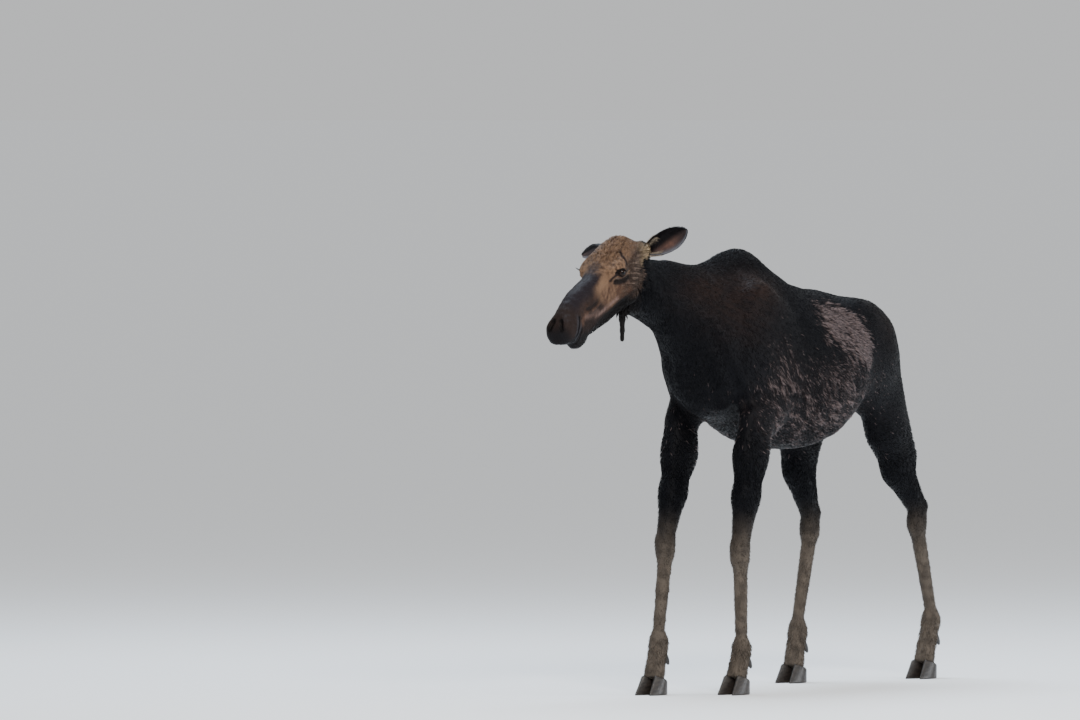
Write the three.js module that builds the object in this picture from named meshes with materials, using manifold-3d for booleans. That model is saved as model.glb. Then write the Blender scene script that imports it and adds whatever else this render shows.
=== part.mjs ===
// A cow moose (Alces alces) as a still, life-size model, standing in mid-step.
// Millimetres, +Z up, soles at Z = 0. The animal faces -X and its left side is at -Y.
// The body is one smooth blend of named volumes: trunk, muscles, bones and head. Each node is a
// mesh laid over that blend, trimmed by flat cuts, so that neighbours meet with a thin gap.
import * as THREE from "three";
import { mergeVertices } from "three/addons/utils/BufferGeometryUtils.js";
import Module from "manifold-3d";

const wasm = await Module();
wasm.setup();

// ---- Driving dimensions -------------------------------------------------------------------
const HUMP_HEIGHT = 1780; // floor to the top of the shoulder hump, which stands at x = 0
const GAP = 0.6; // width of the cuts that part the nodes
const ABOVE_KNEE = 75; // how high over the joint a leg's upper and lower parts meet
const ABOVE_HOCK = 100;

// Bones, from joint centre to joint centre.
const FOREARM = 430;
const FORE_CANNON = 385;
const THIGH = 411;
const GASKIN = 472;
const HIND_CANNON = 432;

// Feet.
const CLAW_LENGTH = 148;
const CLAW_WIDTH = 56;
const CLAW_HEIGHT = 92;
const CLAW_SPACING = 5; // between the two claws of a hoof
const CLAW_ADVANCE = 6; // of the claws ahead of the pastern's end
const CLAW_SPLAY = 5; // degrees that each claw turns away from its partner
const CORONET_HEIGHT = 58; // where the hair of the pastern ends and the claws begin
const CORONET_TILT = 24; // degrees that the coronet rises towards the toes

// The head's frame: its origin lies midway between the eyes and its x axis runs down the face.
const EYES_MIDPOINT = [-922, 80, 1681];
const EYE_LEVEL = 8; // of the eyeballs above the face's axis
const HEAD_PITCH = 35; // degrees that the face points below the horizon
const HEAD_TURN = 4; // degrees that the head turns to the animal's right
const EYE_OFFSET = 87; // of each eyeball's centre from the middle plane
const EYE_RADIUS = 19;

const EAR_LENGTH = 240;
const EAR_HALF_WIDTH = 48;
const EAR_THICKNESS = 9;
const BELL_LENGTH = 125;
const BELL_RADIUS = 9;
const TAIL_LENGTH = 120;
const TAIL_RADIUS = 26;

const LEFT = -1;
const RIGHT = 1;
const SIDES = [["left", LEFT], ["right", RIGHT]];
const UP = new THREE.Vector3(0, 0, 1);
const v = (x, y, z) => new THREE.Vector3(x, y, z);
const moved = (p, x, y, z) => p.clone().add(v(x, y, z));
const between = (a, b, t) => v(0, 0, 0).lerpVectors(a, b, t);
const radians = THREE.MathUtils.degToRad;
const { clamp, lerp } = THREE.MathUtils;

// ---- Volumes: each is a function from a point to its rough distance outside the surface ------
const smoothJoin = (a, b, width) => {
  const h = Math.max(width - Math.abs(a - b), 0) / width;
  return Math.min(a, b) - (h * h * width) / 4;
};

// An ellipsoid with its radii along the axes, turned by an optional Euler rotation in degrees.
function egg([x, y, z], radii, turn = [0, 0, 0]) {
  const centre = v(x, y, z);
  const back = new THREE.Matrix4()
    .makeRotationFromEuler(new THREE.Euler(...turn.map(radians)))
    .transpose();
  const q = v(0, 0, 0);
  return (p) => {
    q.subVectors(p, centre).applyMatrix4(back);
    const [a, b, c] = [q.x / radii[0], q.y / radii[1], q.z / radii[2]];
    const near = Math.hypot(a, b, c);
    const slope = Math.hypot(a / radii[0], b / radii[1], c / radii[2]);
    return near < 1e-6 ? -Math.min(...radii) : (near * (near - 1)) / slope;
  };
}

// A tapering limb from a to b. Its section is narrower or wider across the body by `across`.
function limb(a, b, radiusA, radiusB, across = 1) {
  const along = v(0, 0, 0).subVectors(b, a);
  const lengthSquared = along.lengthSq();
  const q = v(0, 0, 0);
  return (p) => {
    const t = clamp(q.subVectors(p, a).dot(along) / lengthSquared, 0, 1);
    q.addScaledVector(along, -t);
    q.y /= across;
    return q.length() - lerp(radiusA, radiusB, t);
  };
}

// A smooth curve through hand-set stations [position, value].
function profile(stations) {
  const last = stations.length - 1;
  const slope = stations.map((_, i) => {
    const [a, b] = [stations[Math.max(i - 1, 0)], stations[Math.min(i + 1, last)]];
    return (b[1] - a[1]) / (b[0] - a[0]);
  });
  return (x) => {
    if (x <= stations[0][0]) return stations[0][1];
    if (x >= stations[last][0]) return stations[last][1];
    let i = 0;
    while (x > stations[i + 1][0]) i++;
    const width = stations[i + 1][0] - stations[i][0];
    const t = (x - stations[i][0]) / width;
    const rise = t * t * (3 - 2 * t);
    const leave = t * (1 - t) * (1 - t) * width * slope[i];
    const arrive = t * t * (t - 1) * width * slope[i + 1];
    return lerp(stations[i][1], stations[i + 1][1], rise) + leave + arrive;
  };
}

// A body drawn like a ship's lines: its top, bottom, half breadth and middle line along x. The
// widest level lies at `waist` of its height, `crown` and `keel` are the fullness above and below
// it, and `round` is the length over which each end closes.
function hull({ from, to, top, bottom, breadth, middle, waist, crown, keel, round }) {
  const closing = (distance, length) =>
    distance >= length ? 1 : Math.sqrt(Math.max(1 - (1 - distance / length) ** 2, 1e-4));
  return (p) => {
    const x = clamp(p.x, from + 1, to - 1);
    const shrink = closing(x - from, round[0]) * closing(to - x, round[1]);
    const [high, low] = [top(x), bottom(x)];
    const level = low + (high - low) * waist(x);
    const upper = p.z > level;
    const tall = shrink * (upper ? high - level : level - low);
    const wide = shrink * breadth(x);
    const power = upper ? crown(x) : keel(x);
    const [a, b] = [Math.abs(p.y - middle(x)) / wide, Math.abs(p.z - level) / tall];
    const size = Math.pow(Math.pow(a, power) + Math.pow(b, power), 1 / power);
    const beyond = Math.abs(p.x - x);
    if (size < 1e-6) return Math.max(-Math.min(wide, tall), beyond);
    const [sideways, upwards] = [Math.pow(a / size, power - 1), Math.pow(b / size, power - 1)];
    const outside = (size - 1) / Math.hypot(sideways / wide, upwards / tall);
    return beyond > 0 ? Math.hypot(Math.max(outside, 0), beyond) : outside;
  };
}

// Joins volumes one after another. Each entry is a volume and the width of its blend.
function flesh(parts) {
  return (p) => parts.reduce((d, [volume, width]) => smoothJoin(d, volume(p), width), Infinity);
}

// ---- Trunk and neck ---------------------------------------------------------------------------
const trunkHull = hull({
  from: -800,
  to: 1030,
  round: [60, 190],
  top: profile([
    [-800, 1720], [-640, 1745], [-520, 1738], [-400, 1724], [-310, 1722], [-215, 1738],
    [-120, 1765], [0, HUMP_HEIGHT], [90, 1766], [160, 1736], [240, 1696], [350, 1645],
    [490, 1618], [640, 1605], [760, 1587], [860, 1555], [950, 1508], [1030, 1450],
  ]),
  bottom: profile([
    [-800, 1535], [-700, 1510], [-600, 1470], [-500, 1405], [-400, 1300], [-330, 1195],
    [-250, 1135], [-170, 1095], [-64, 1048], [60, 1002], [200, 972], [350, 958], [480, 965],
    [600, 1005], [720, 1075], [820, 1120], [930, 1150], [1030, 1180],
  ]),
  breadth: profile([
    [-800, 90], [-640, 105], [-500, 125], [-380, 155], [-250, 190], [-100, 222], [100, 258],
    [300, 290], [450, 300], [580, 288], [700, 262], [820, 242], [930, 222], [1030, 200],
  ]),
  middle: profile([[-800, 66], [-600, 40], [-450, 14], [-330, 0], [1030, 0]]),
  waist: profile([[-800, 0.45], [-400, 0.4], [0, 0.36], [400, 0.42], [700, 0.5], [1030, 0.5]]),
  crown: profile([
    [-800, 1.8], [-400, 1.7], [0, 1.45], [250, 1.6], [500, 1.8], [800, 1.75], [1030, 1.9],
  ]),
  keel: profile([[-800, 1.9], [-300, 1.8], [200, 2.1], [600, 2.2], [1030, 2]]),
});

const shoulder = (side) => [
  [egg([-40, side * 150, 1400], [150, 70, 240], [0, -18, 0]), 110],
  [egg([-138, side * 138, 1300], [108, 70, 108], [0, -20, 0]), 90],
];
const haunch = (side) => [
  [egg([850, side * 115, 1340], [175, 120, 170], [0, 20, 0]), 120],
  [egg([715, side * 160, 1465], [85, 55, 80]), 110],
];
const rump = [[egg([905, 0, 1390], [135, 120, 120], [0, 20, 0]), 90]];
const breast = [[egg([-225, 0, 1260], [140, 125, 150], [0, 20, 0]), 100]];
const trunkFlesh = [
  [trunkHull, 1],
  ...breast,
  ...rump,
  ...SIDES.flatMap(([, side]) => [...shoulder(side), ...haunch(side)]),
];

// ---- Legs ---------------------------------------------------------------------------------------
// The joint between two bones of known length that span a and c, bent towards -x.
function joint(a, c, lengthA, lengthC) {
  const span = v(0, 0, 0).subVectors(c, a);
  const reach = Math.min(span.length(), lengthA + lengthC - 1);
  const along = (reach * reach + lengthA * lengthA - lengthC * lengthC) / (2 * reach);
  const out = Math.sqrt(Math.max(lengthA * lengthA - along * along, 0));
  const axis = span.normalize();
  const forward = v(-axis.z, 0, axis.x).normalize();
  if (forward.x > 0) forward.negate();
  return a.clone().addScaledVector(axis, along).addScaledVector(forward, out);
}

// Where each leg stands. The elbow or hip, hock, fetlock and foot are placed, and the knee or
// stifle follows from the lengths of the bones. `lean` is the hind cannon's, in degrees from
// upright. The middle joint of either leg is its `knee`, which in a hind leg is the hock.
const at = (side, [x, y, z]) => v(x, side * y, z);
function foreleg(side, { triceps, elbow, fetlock, foot }) {
  const [top, ankle] = [at(side, elbow), at(side, fetlock)];
  const knee = joint(top, ankle, FOREARM, FORE_CANNON);
  return { side, triceps: at(side, triceps), top, knee, ankle, foot: at(side, foot) };
}
function hindleg(side, { hip, hock, lean, foot }) {
  const [top, knee] = [at(side, hip), at(side, hock)];
  const stifle = joint(top, knee, THIGH, GASKIN);
  const fall = v(Math.sin(radians(lean)), 0, -Math.cos(radians(lean)));
  const ankle = knee.clone().addScaledVector(fall, HIND_CANNON);
  return { side, top, stifle, knee, ankle, foot: at(side, foot) };
}
const LEGS = {
  foreleg_left: foreleg(LEFT, {
    triceps: [-35, 160, 1130],
    elbow: [-165, 172, 985],
    fetlock: [-195, 138, 178],
    foot: [-236, 138, 62],
  }),
  foreleg_right: foreleg(RIGHT, {
    triceps: [-75, 156, 1195],
    elbow: [-165, 168, 992],
    fetlock: [-385, 134, 205],
    foot: [-422, 134, 62],
  }),
  hindleg_left: hindleg(LEFT, {
    hip: [860, 120, 1420],
    hock: [1262, 150, 650],
    lean: 16,
    foot: [1330, 145, 62],
  }),
  hindleg_right: hindleg(RIGHT, {
    hip: [860, 120, 1420],
    hock: [890, 145, 628],
    lean: -14,
    foot: [742, 140, 62],
  }),
};

// The bones and muscles of a foreleg, from the upper arm down to the foot.
function forelegFlesh({ side, triceps, top, knee, ankle, foot }) {
  const wrist = moved(knee, 0, 0, 34);
  const arm = moved(top, -4, -side * 6, -40);
  const middle = between(arm, wrist, 0.45);
  return [
    [egg(triceps.toArray(), [112, 66, 120], [0, 25, 0]), 60],
    [limb(moved(top, 30, 0, 90), arm, 96, 86, 0.66), 50],
    [limb(arm, middle, 86, 60, 0.74), 60],
    [limb(middle, wrist, 60, 42, 0.86), 50],
    [egg(moved(knee, -5, 0, 0).toArray(), [44, 40, 60]), 30],
    [limb(moved(knee, 0, 0, -30), moved(ankle, 0, 0, 40), 34, 28, 0.92), 30],
    [egg(moved(ankle, 5, 0, 0).toArray(), [38, 36, 46]), 25],
    [limb(ankle, foot, 33, 42, 1.1), 25],
  ];
}
// The bones and muscles of a hind leg, with the tendon that runs to the point of the hock.
function hindlegFlesh({ side, top, stifle, knee, ankle, foot }) {
  const heel = moved(knee, 46, 0, 56);
  const calf = between(stifle, knee, 0.42);
  const shin = moved(knee, -6, 0, 44);
  return [
    [limb(moved(top, -10, -side * 2, -60), moved(stifle, 36, 0, 20), 165, 104, 0.62), 100],
    [limb(moved(top, 100, -side * 2, -120), moved(calf, 74, 0, 50), 118, 74, 0.62), 90],
    [limb(moved(stifle, 20, 0, 0), calf, 96, 72, 0.66), 60],
    [limb(calf, shin, 70, 38, 0.8), 50],
    [limb(moved(calf, 60, 0, 14), heel, 46, 20, 0.7), 50],
    [limb(heel, knee, 24, 36, 0.8), 30],
    [egg(moved(knee, -4, 0, -5).toArray(), [46, 37, 58]), 30],
    [limb(moved(knee, 0, 0, -30), moved(ankle, 0, 0, 40), 37, 29, 0.85), 30],
    [egg(moved(ankle, 5, 0, 0).toArray(), [40, 36, 48]), 25],
    [limb(ankle, foot, 34, 42, 1.1), 25],
  ];
}
const legFlesh = (leg) => (leg.stifle ? hindlegFlesh(leg) : forelegFlesh(leg));

// ---- Head, in its own frame: the nose points to -x, the animal's right is +y, the crown is +z -----
const headFrame = new THREE.Matrix4()
  .makeTranslation(...EYES_MIDPOINT)
  .multiply(new THREE.Matrix4().makeRotationZ(radians(-HEAD_TURN)))
  .multiply(new THREE.Matrix4().makeRotationY(radians(-HEAD_PITCH)));
const headBack = headFrame.clone().invert();
const onHead = (x, y, z) => v(x, y, z).applyMatrix4(headFrame);

const headHull = hull({
  from: -424,
  to: 225,
  round: [45, 70],
  top: profile([
    [-424, -16], [-405, 6], [-375, 34], [-335, 56], [-290, 68], [-225, 72], [-150, 66],
    [-90, 58], [-30, 63], [30, 73], [90, 72], [150, 64], [190, 52], [225, 34],
  ]),
  bottom: profile([
    [-424, -54], [-390, -66], [-345, -88], [-290, -116], [-228, -136], [-157, -153],
    [-90, -168], [0, -174], [90, -166], [160, -148], [225, -120],
  ]),
  breadth: profile([
    [-424, 50], [-365, 55], [-310, 54], [-240, 54], [-170, 55], [-110, 60], [-60, 70],
    [0, 82], [80, 88], [150, 80], [225, 60],
  ]),
  middle: () => 0,
  waist: profile([[-424, 0.45], [-250, 0.5], [-120, 0.55], [0, 0.62], [225, 0.6]]),
  crown: profile([[-424, 2.4], [-300, 2.3], [-150, 2.3], [0, 2.2], [225, 2.1]]),
  keel: profile([[-424, 2.4], [-300, 2.2], [-150, 1.9], [0, 1.7], [225, 1.8]]),
});
const brow = (side) => [egg([6, side * 68, 26], [58, 28, 26]), 28];
const jawMuscle = (side) => [egg([85, side * 48, -85], [90, 38, 80]), 50];
const earBase = (side) => [egg([192, side * 66, -22], [40, 30, 36]), 30];
const nostrilWing = (side) => [egg([-368, side * 34, -6], [40, 23, 34], [0, -30, 0]), 24];
const chin = [egg([-303, 0, -108], [50, 34, 28], [0, 10, 0]), 24];
const headFlesh = [
  [headHull, 1],
  chin,
  ...SIDES.flatMap(([, side]) => [brow(side), jawMuscle(side), earBase(side), nostrilWing(side)]),
];
const headField = (() => {
  const inside = flesh(headFlesh);
  const p = v(0, 0, 0);
  return (q) => inside(p.copy(q).applyMatrix4(headBack));
})();

// ---- The whole body -----------------------------------------------------------------------------
const bodyField = flesh([
  ...trunkFlesh,
  ...Object.values(LEGS).flatMap(legFlesh),
  [headField, 70],
]);

// ---- From volumes to solids ---------------------------------------------------------------------
function toSolid(geometry) {
  const bare = geometry.clone();
  bare.deleteAttribute("normal");
  bare.deleteAttribute("uv");
  const merged = mergeVertices(bare, 1e-3);
  return new wasm.Manifold(
    new wasm.Mesh({
      numProp: 3,
      vertProperties: merged.attributes.position.array,
      triVerts: new Uint32Array(merged.index.array),
    }),
  );
}
function toGeometry(solid) {
  const mesh = solid.getMesh();
  const geometry = new THREE.BufferGeometry();
  geometry.setAttribute("position", new THREE.BufferAttribute(mesh.vertProperties, 3));
  geometry.setIndex(new THREE.BufferAttribute(mesh.triVerts, 1));
  geometry.computeVertexNormals();
  return geometry;
}

// Slides a point along the field's slope until it lies on the surface.
function settle(field, p, limit) {
  const probe = v(0, 0, 0);
  const slope = v(0, 0, 0);
  for (let step = 0; step < 5; step++) {
    const here = field(p);
    for (const axis of ["x", "y", "z"]) {
      probe.copy(p);
      probe[axis] += 0.5;
      slope[axis] = (field(probe) - here) / 0.5;
    }
    const steepness = Math.max(slope.lengthSq(), 0.05);
    p.addScaledVector(slope, clamp(-here / steepness, -limit, limit));
  }
  return p;
}

// Lays a mesh over a field inside a box. Every cell of a grid that the surface crosses holds one
// point, and every grid edge that it crosses makes one face between its four cells.
function skinOver(field, low, high, cell) {
  const axes = ["x", "y", "z"];
  const clipped = (p) =>
    axes.reduce((d, axis, i) => Math.max(d, low[i] - p[axis], p[axis] - high[i]), field(p));
  const count = [0, 1, 2].map((i) => Math.ceil((high[i] - low[i]) / cell[i]) + 3);
  const place = (i, j, k) =>
    v(low[0] + (i - 1) * cell[0], low[1] + (j - 1) * cell[1], low[2] + (k - 1) * cell[2]);
  const id = (i, j, k) => (i * count[1] + j) * count[2] + k;
  const value = new Float64Array(count[0] * count[1] * count[2]);
  const everyNode = (visit) => {
    for (let i = 0; i < count[0]; i++) {
      for (let j = 0; j < count[1]; j++) {
        for (let k = 0; k < count[2]; k++) visit(i, j, k);
      }
    }
  };
  everyNode((i, j, k) => (value[id(i, j, k)] = clipped(place(i, j, k))));

  const points = [];
  const pointOf = new Map();
  const edges = [];
  for (let a = 0; a < 8; a++) {
    for (const bit of [1, 2, 4]) if (!(a & bit)) edges.push([a, a | bit]);
  }
  const corner = (i, j, k, c) => [i + (c & 1), j + ((c >> 1) & 1), k + ((c >> 2) & 1)];
  everyNode((i, j, k) => {
    if (i === count[0] - 1 || j === count[1] - 1 || k === count[2] - 1) return;
    const sum = v(0, 0, 0);
    let crossings = 0;
    for (const [a, b] of edges) {
      const [from, to] = [corner(i, j, k, a), corner(i, j, k, b)];
      const [start, end] = [value[id(...from)], value[id(...to)]];
      if (start < 0 === end < 0) continue;
      sum.add(between(place(...from), place(...to), start / (start - end)));
      crossings++;
    }
    if (crossings === 0) return;
    pointOf.set(id(i, j, k), points.length);
    points.push(settle(clipped, sum.divideScalar(crossings), Math.min(...cell) / 4));
  });

  const index = [];
  const face = (a, b, c, d) => {
    const [p, q, r, s] = [a, b, c, d].map((n) => points[n]);
    if (p.distanceTo(r) < q.distanceTo(s)) index.push(a, b, c, a, c, d);
    else index.push(b, c, d, b, d, a);
  };
  const around = [[0, 1, 2], [1, 2, 0], [2, 0, 1]];
  everyNode((i, j, k) => {
    const here = [i, j, k];
    for (const [axis, side, other] of around) {
      if (here[axis] === count[axis] - 1 || here[side] === 0 || here[other] === 0) continue;
      const next = [...here];
      next[axis]++;
      const inside = value[id(...here)] < 0;
      if (inside === value[id(...next)] < 0) continue;
      const ring = [[0, 0], [1, 0], [1, 1], [0, 1]].map(([s, o]) => {
        const back = [...here];
        back[side] -= s;
        back[other] -= o;
        return pointOf.get(id(...back));
      });
      face(...(inside ? ring : ring.reverse()));
    }
  });
  return toSolid(new THREE.BufferGeometry().setFromPoints(points).setIndex(index));
}

// Joins rings of points into one closed body, with a flat fan over each end. The rings may run
// either way round.
function loft(rings) {
  const size = rings[0].length;
  const points = rings.flat();
  const middle = (ring) => ring.reduce((sum, p) => sum.add(p), v(0, 0, 0)).divideScalar(size);
  const start = points.push(middle(rings[0])) - 1;
  const end = points.push(middle(rings.at(-1))) - 1;
  const index = [];
  for (let k = 0; k < size; k++) {
    const next = (k + 1) % size;
    for (let i = 0; i < rings.length - 1; i++) {
      const [a, b] = [i * size + k, i * size + next];
      index.push(a, b, b + size, a, b + size, a + size);
    }
    const last = (rings.length - 1) * size;
    index.push(start, next, k, end, last + k, last + next);
  }
  const geometry = new THREE.BufferGeometry().setFromPoints(points);
  const solid = toSolid(geometry.setIndex(index));
  return solid.volume() > 0 ? solid : toSolid(geometry.setIndex(index.reverse()));
}

// Everything on the side of a plane that its normal points to, as a very large box.
function halfSpace(point, normal, shift = 0) {
  const size = 6000;
  const box = new THREE.BoxGeometry(size, size, size).translate(0, 0, size / 2 + shift);
  const turn = new THREE.Quaternion().setFromUnitVectors(UP, normal.clone().normalize());
  box.applyMatrix4(new THREE.Matrix4().compose(point, turn, v(1, 1, 1)));
  return toSolid(box);
}
// Rings of points where rays from a spine leave the field, lofted into a sleeve.
function sleeve(field, spine, rings, around) {
  const curve = new THREE.CatmullRomCurve3(spine, false, "centripetal");
  const edge = (origin, direction) => {
    const p = v(0, 0, 0);
    const value = (distance) => field(p.copy(origin).addScaledVector(direction, distance));
    let far = 4;
    while (value(far) < 0) far += 4;
    let near = far - 4;
    for (let i = 0; i < 12; i++) {
      const middle = (near + far) / 2;
      if (value(middle) < 0) near = middle;
      else far = middle;
    }
    return origin.clone().addScaledVector(direction, far);
  };
  const ring = (t) => {
    const origin = curve.getPointAt(t);
    const ahead = curve.getTangentAt(t);
    const across = v(0, 1, 0).addScaledVector(ahead, -ahead.y).normalize();
    const third = v(0, 0, 0).crossVectors(ahead, across);
    return Array.from({ length: around }, (_, k) => {
      const angle = (2 * Math.PI * k) / around;
      const direction = v(0, 0, 0).addScaledVector(across, Math.cos(angle));
      return edge(origin, direction.addScaledVector(third, Math.sin(angle)));
    });
  };
  return loft(Array.from({ length: rings }, (_, i) => ring(i / (rings - 1))));
}

// ---- Cuts ---------------------------------------------------------------------------------------
// Each cut is a plane: a point on it and a normal. `keep` trims a solid to the side that the
// normal points to, and `drop` to the other, with half of the gap taken from each.
const keep = (solid, { point, normal }) => solid.intersect(halfSpace(point, normal, GAP / 2));
const drop = (solid, { point, normal }) =>
  solid.intersect(halfSpace(point, normal.clone().negate(), GAP / 2));
const HEAD_CUT = { point: v(-680, 60, 1740), normal: v(-0.974, 0.068, -0.225) };
const NECK_CUT = { point: v(-300, 0, 1450), normal: v(-0.985, 0, 0.175) };

// The space of a leg below the trunk: under a slanted plane and on its own side of the middle.
function legCuts({ side, stifle }) {
  if (stifle)
    return [
      { point: v(860, side * 150, 1188), normal: v(0.22, -side * 0.2, -0.95) },
      { point: v(860, 0, 1200), normal: v(0, side, 0) },
    ];
  return [
    { point: v(-150, side * 150, 1055), normal: v(0, -side * 0.35, -0.937) },
    { point: v(-150, side * 40, 1000), normal: v(0, side, 0) },
    { point: v(35, side * 150, 1000), normal: v(-1, 0, -0.4) },
  ];
}
// Cuts a piece clear of the body that it grows from, with the gap along the way it grows.
const rooted = (piece, base, along) =>
  piece.subtract(base).subtract(base.translate(along.clone().setLength(GAP).toArray()));
// A leg's upper and lower parts meet at a level cut above its knee or hock.
const kneeCut = ({ knee, stifle }) => ({
  point: moved(knee, 0, 0, stifle ? ABOVE_HOCK : ABOVE_KNEE),
  normal: UP,
});
const coronetCut = ({ foot }) => ({
  point: v(foot.x, foot.y, CORONET_HEIGHT),
  normal: v(Math.sin(radians(CORONET_TILT)), 0, Math.cos(radians(CORONET_TILT))),
});

// ---- Pieces -------------------------------------------------------------------------------------
// A cupped ear that opens forwards: a sheet rolled into a tube at its root and spread towards the
// middle, tapering to its tip.
const EARS = {
  left: { root: onHead(205, -66, -43), tip: v(-0.05, -0.215, 0.088), front: v(-1, 0, 0) },
  right: { root: onHead(205, 68, -74), tip: v(0.085, 0.215, 0.004), front: v(-1, 0, -0.55) },
};
const earHalfWidth = profile([
  [0, 0.4], [0.15, 0.62], [0.3, 0.86], [0.5, 1], [0.68, 0.9], [0.84, 0.6], [0.95, 0.3], [1, 0.1],
]);
const earWrap = profile([[0, 135], [0.25, 100], [0.6, 72], [1, 50]]);
const earThickness = profile([[0, 1.3], [0.5, 1], [1, 0.7]]);
function ear({ root, tip, front }) {
  const along = tip.clone().normalize();
  const facing = front.clone().addScaledVector(along, -front.dot(along)).normalize();
  const across = v(0, 0, 0).crossVectors(along, facing);
  const rings = 8;
  const steps = 6;
  const ring = (t) => {
    const wrap = radians(earWrap(t));
    const radius = (EAR_HALF_WIDTH * earHalfWidth(t)) / Math.sin(Math.min(wrap, Math.PI / 2));
    const half = Math.min(EAR_THICKNESS * earThickness(t), radius) / 2;
    const centre = root.clone().addScaledVector(along, EAR_LENGTH * t);
    const on = (r, turn) => {
      const p = centre.clone().addScaledVector(across, r * Math.sin(turn));
      return p.addScaledVector(facing, -r * Math.cos(turn));
    };
    const turns = Array.from({ length: steps }, (_, k) => lerp(-wrap, wrap, k / (steps - 1)));
    const back = turns.map((turn) => on(radius + half, turn));
    const inside = turns.map((turn) => on(radius - half, turn));
    return [...back, ...inside.reverse()];
  };
  return loft(Array.from({ length: rings }, (_, i) => ring(i / (rings - 1))));
}

// A rounded strand along a line of stations [centre, radius].
function strand(stations, around) {
  const last = stations.length - 1;
  const ring = ([centre, radius], i) => {
    const [before, after] = [stations[Math.max(i - 1, 0)], stations[Math.min(i + 1, last)]];
    const ahead = v(0, 0, 0).subVectors(after[0], before[0]).normalize();
    const across = v(0, 1, 0).addScaledVector(ahead, -ahead.y).normalize();
    const third = v(0, 0, 0).crossVectors(ahead, across);
    return Array.from({ length: around }, (_, k) => {
      const angle = (2 * Math.PI * k) / around;
      const p = centre.clone().addScaledVector(across, radius * Math.cos(angle));
      return p.addScaledVector(third, radius * Math.sin(angle));
    });
  };
  return loft(stations.map(ring));
}

// The bell is the thin tassel of skin and hair under the throat.
function bell() {
  const root = v(-787, 72, 1535);
  const thickness = [[0, 2], [0.25, 1.6], [0.55, 1], [0.88, 0.9], [1, 0.5]];
  const stations = thickness.map(([t, thick]) => [
    moved(root, 0, 0, -BELL_LENGTH * t),
    BELL_RADIUS * thick,
  ]);
  return strand(stations, 8);
}
// The short flat tail hangs down behind the rump.
function tail() {
  const root = v(1000, 0, 1368);
  const stations = [
    [root, TAIL_RADIUS],
    [moved(root, 34, 0, -25), TAIL_RADIUS],
    [moved(root, 46, 0, -70), TAIL_RADIUS * 0.85],
    [moved(root, 46, 0, -TAIL_LENGTH), TAIL_RADIUS * 0.45],
  ];
  return strand(stations, 10);
}

// One claw of a hoof, pointed at the toe, flat below and flat where it meets its partner. Its
// front slopes back towards the coronet, and `partner` is the side on which it stands.
function claw({ foot }, partner) {
  const around = 12;
  const toeSlope = 0.8;
  const heelSlope = 0.12;
  const [outerShare, innerShare] = [0.6, 0.4];
  const ring = (z) =>
    Array.from({ length: around }, (_, k) => {
      const angle = (2 * Math.PI * k) / around;
      const [c, s] = [Math.cos(angle), Math.sin(angle)];
      const toe = -CLAW_LENGTH * 0.6 + z * toeSlope;
      const heel = CLAW_LENGTH * 0.4 - z * heelSlope;
      const x = (toe + heel) / 2 + (c * (heel - toe)) / 2;
      const taper = c < 0 ? 1 - 0.6 * c * c : 1 - 0.15 * c * c;
      const share = s * partner < 0 ? innerShare : outerShare;
      return v(x, s * taper * share * CLAW_WIDTH * (1 - z * 0.0012), z);
    });
  const offset = CLAW_WIDTH * innerShare + CLAW_SPACING / 2;
  const splay = new THREE.Matrix4()
    .makeTranslation(foot.x - CLAW_ADVANCE, foot.y + partner * offset, 0)
    .multiply(new THREE.Matrix4().makeRotationZ(-partner * radians(CLAW_SPLAY)));
  return loft([0, 12, CLAW_HEIGHT].map((z) => ring(z).map((p) => p.applyMatrix4(splay))));
}
// A small blunt claw behind the pastern.
function dewclaw({ ankle, foot }, partner) {
  const centre = between(ankle, foot, 0.42).add(v(34, partner * 21, 0));
  const tip = moved(centre, 20, partner * 3, -26);
  return strand([[moved(centre, -14, 0, 16), 14], [centre, 15], [tip, 7]], 6);
}

// ---- The nodes ----------------------------------------------------------------------------------
const COAT = { color: 0x1f1a18, roughness: 0.75 };
const FACE = { color: 0x5a4535, roughness: 0.8 };
const STOCKING = { color: 0x6e6458, roughness: 0.85 };
const EAR_COAT = { color: 0x4b4138, roughness: 0.85 };
const HORN = { color: 0x1c1714, roughness: 0.45 };
const EYE = { color: 0x0b0807, roughness: 0.08 };

const group = new THREE.Group();
function add(name, solid, finish) {
  const material = new THREE.MeshStandardMaterial({ ...finish, metalness: 0 });
  const mesh = new THREE.Mesh(toGeometry(solid), material);
  mesh.name = name;
  group.add(mesh);
  return solid;
}

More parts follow.
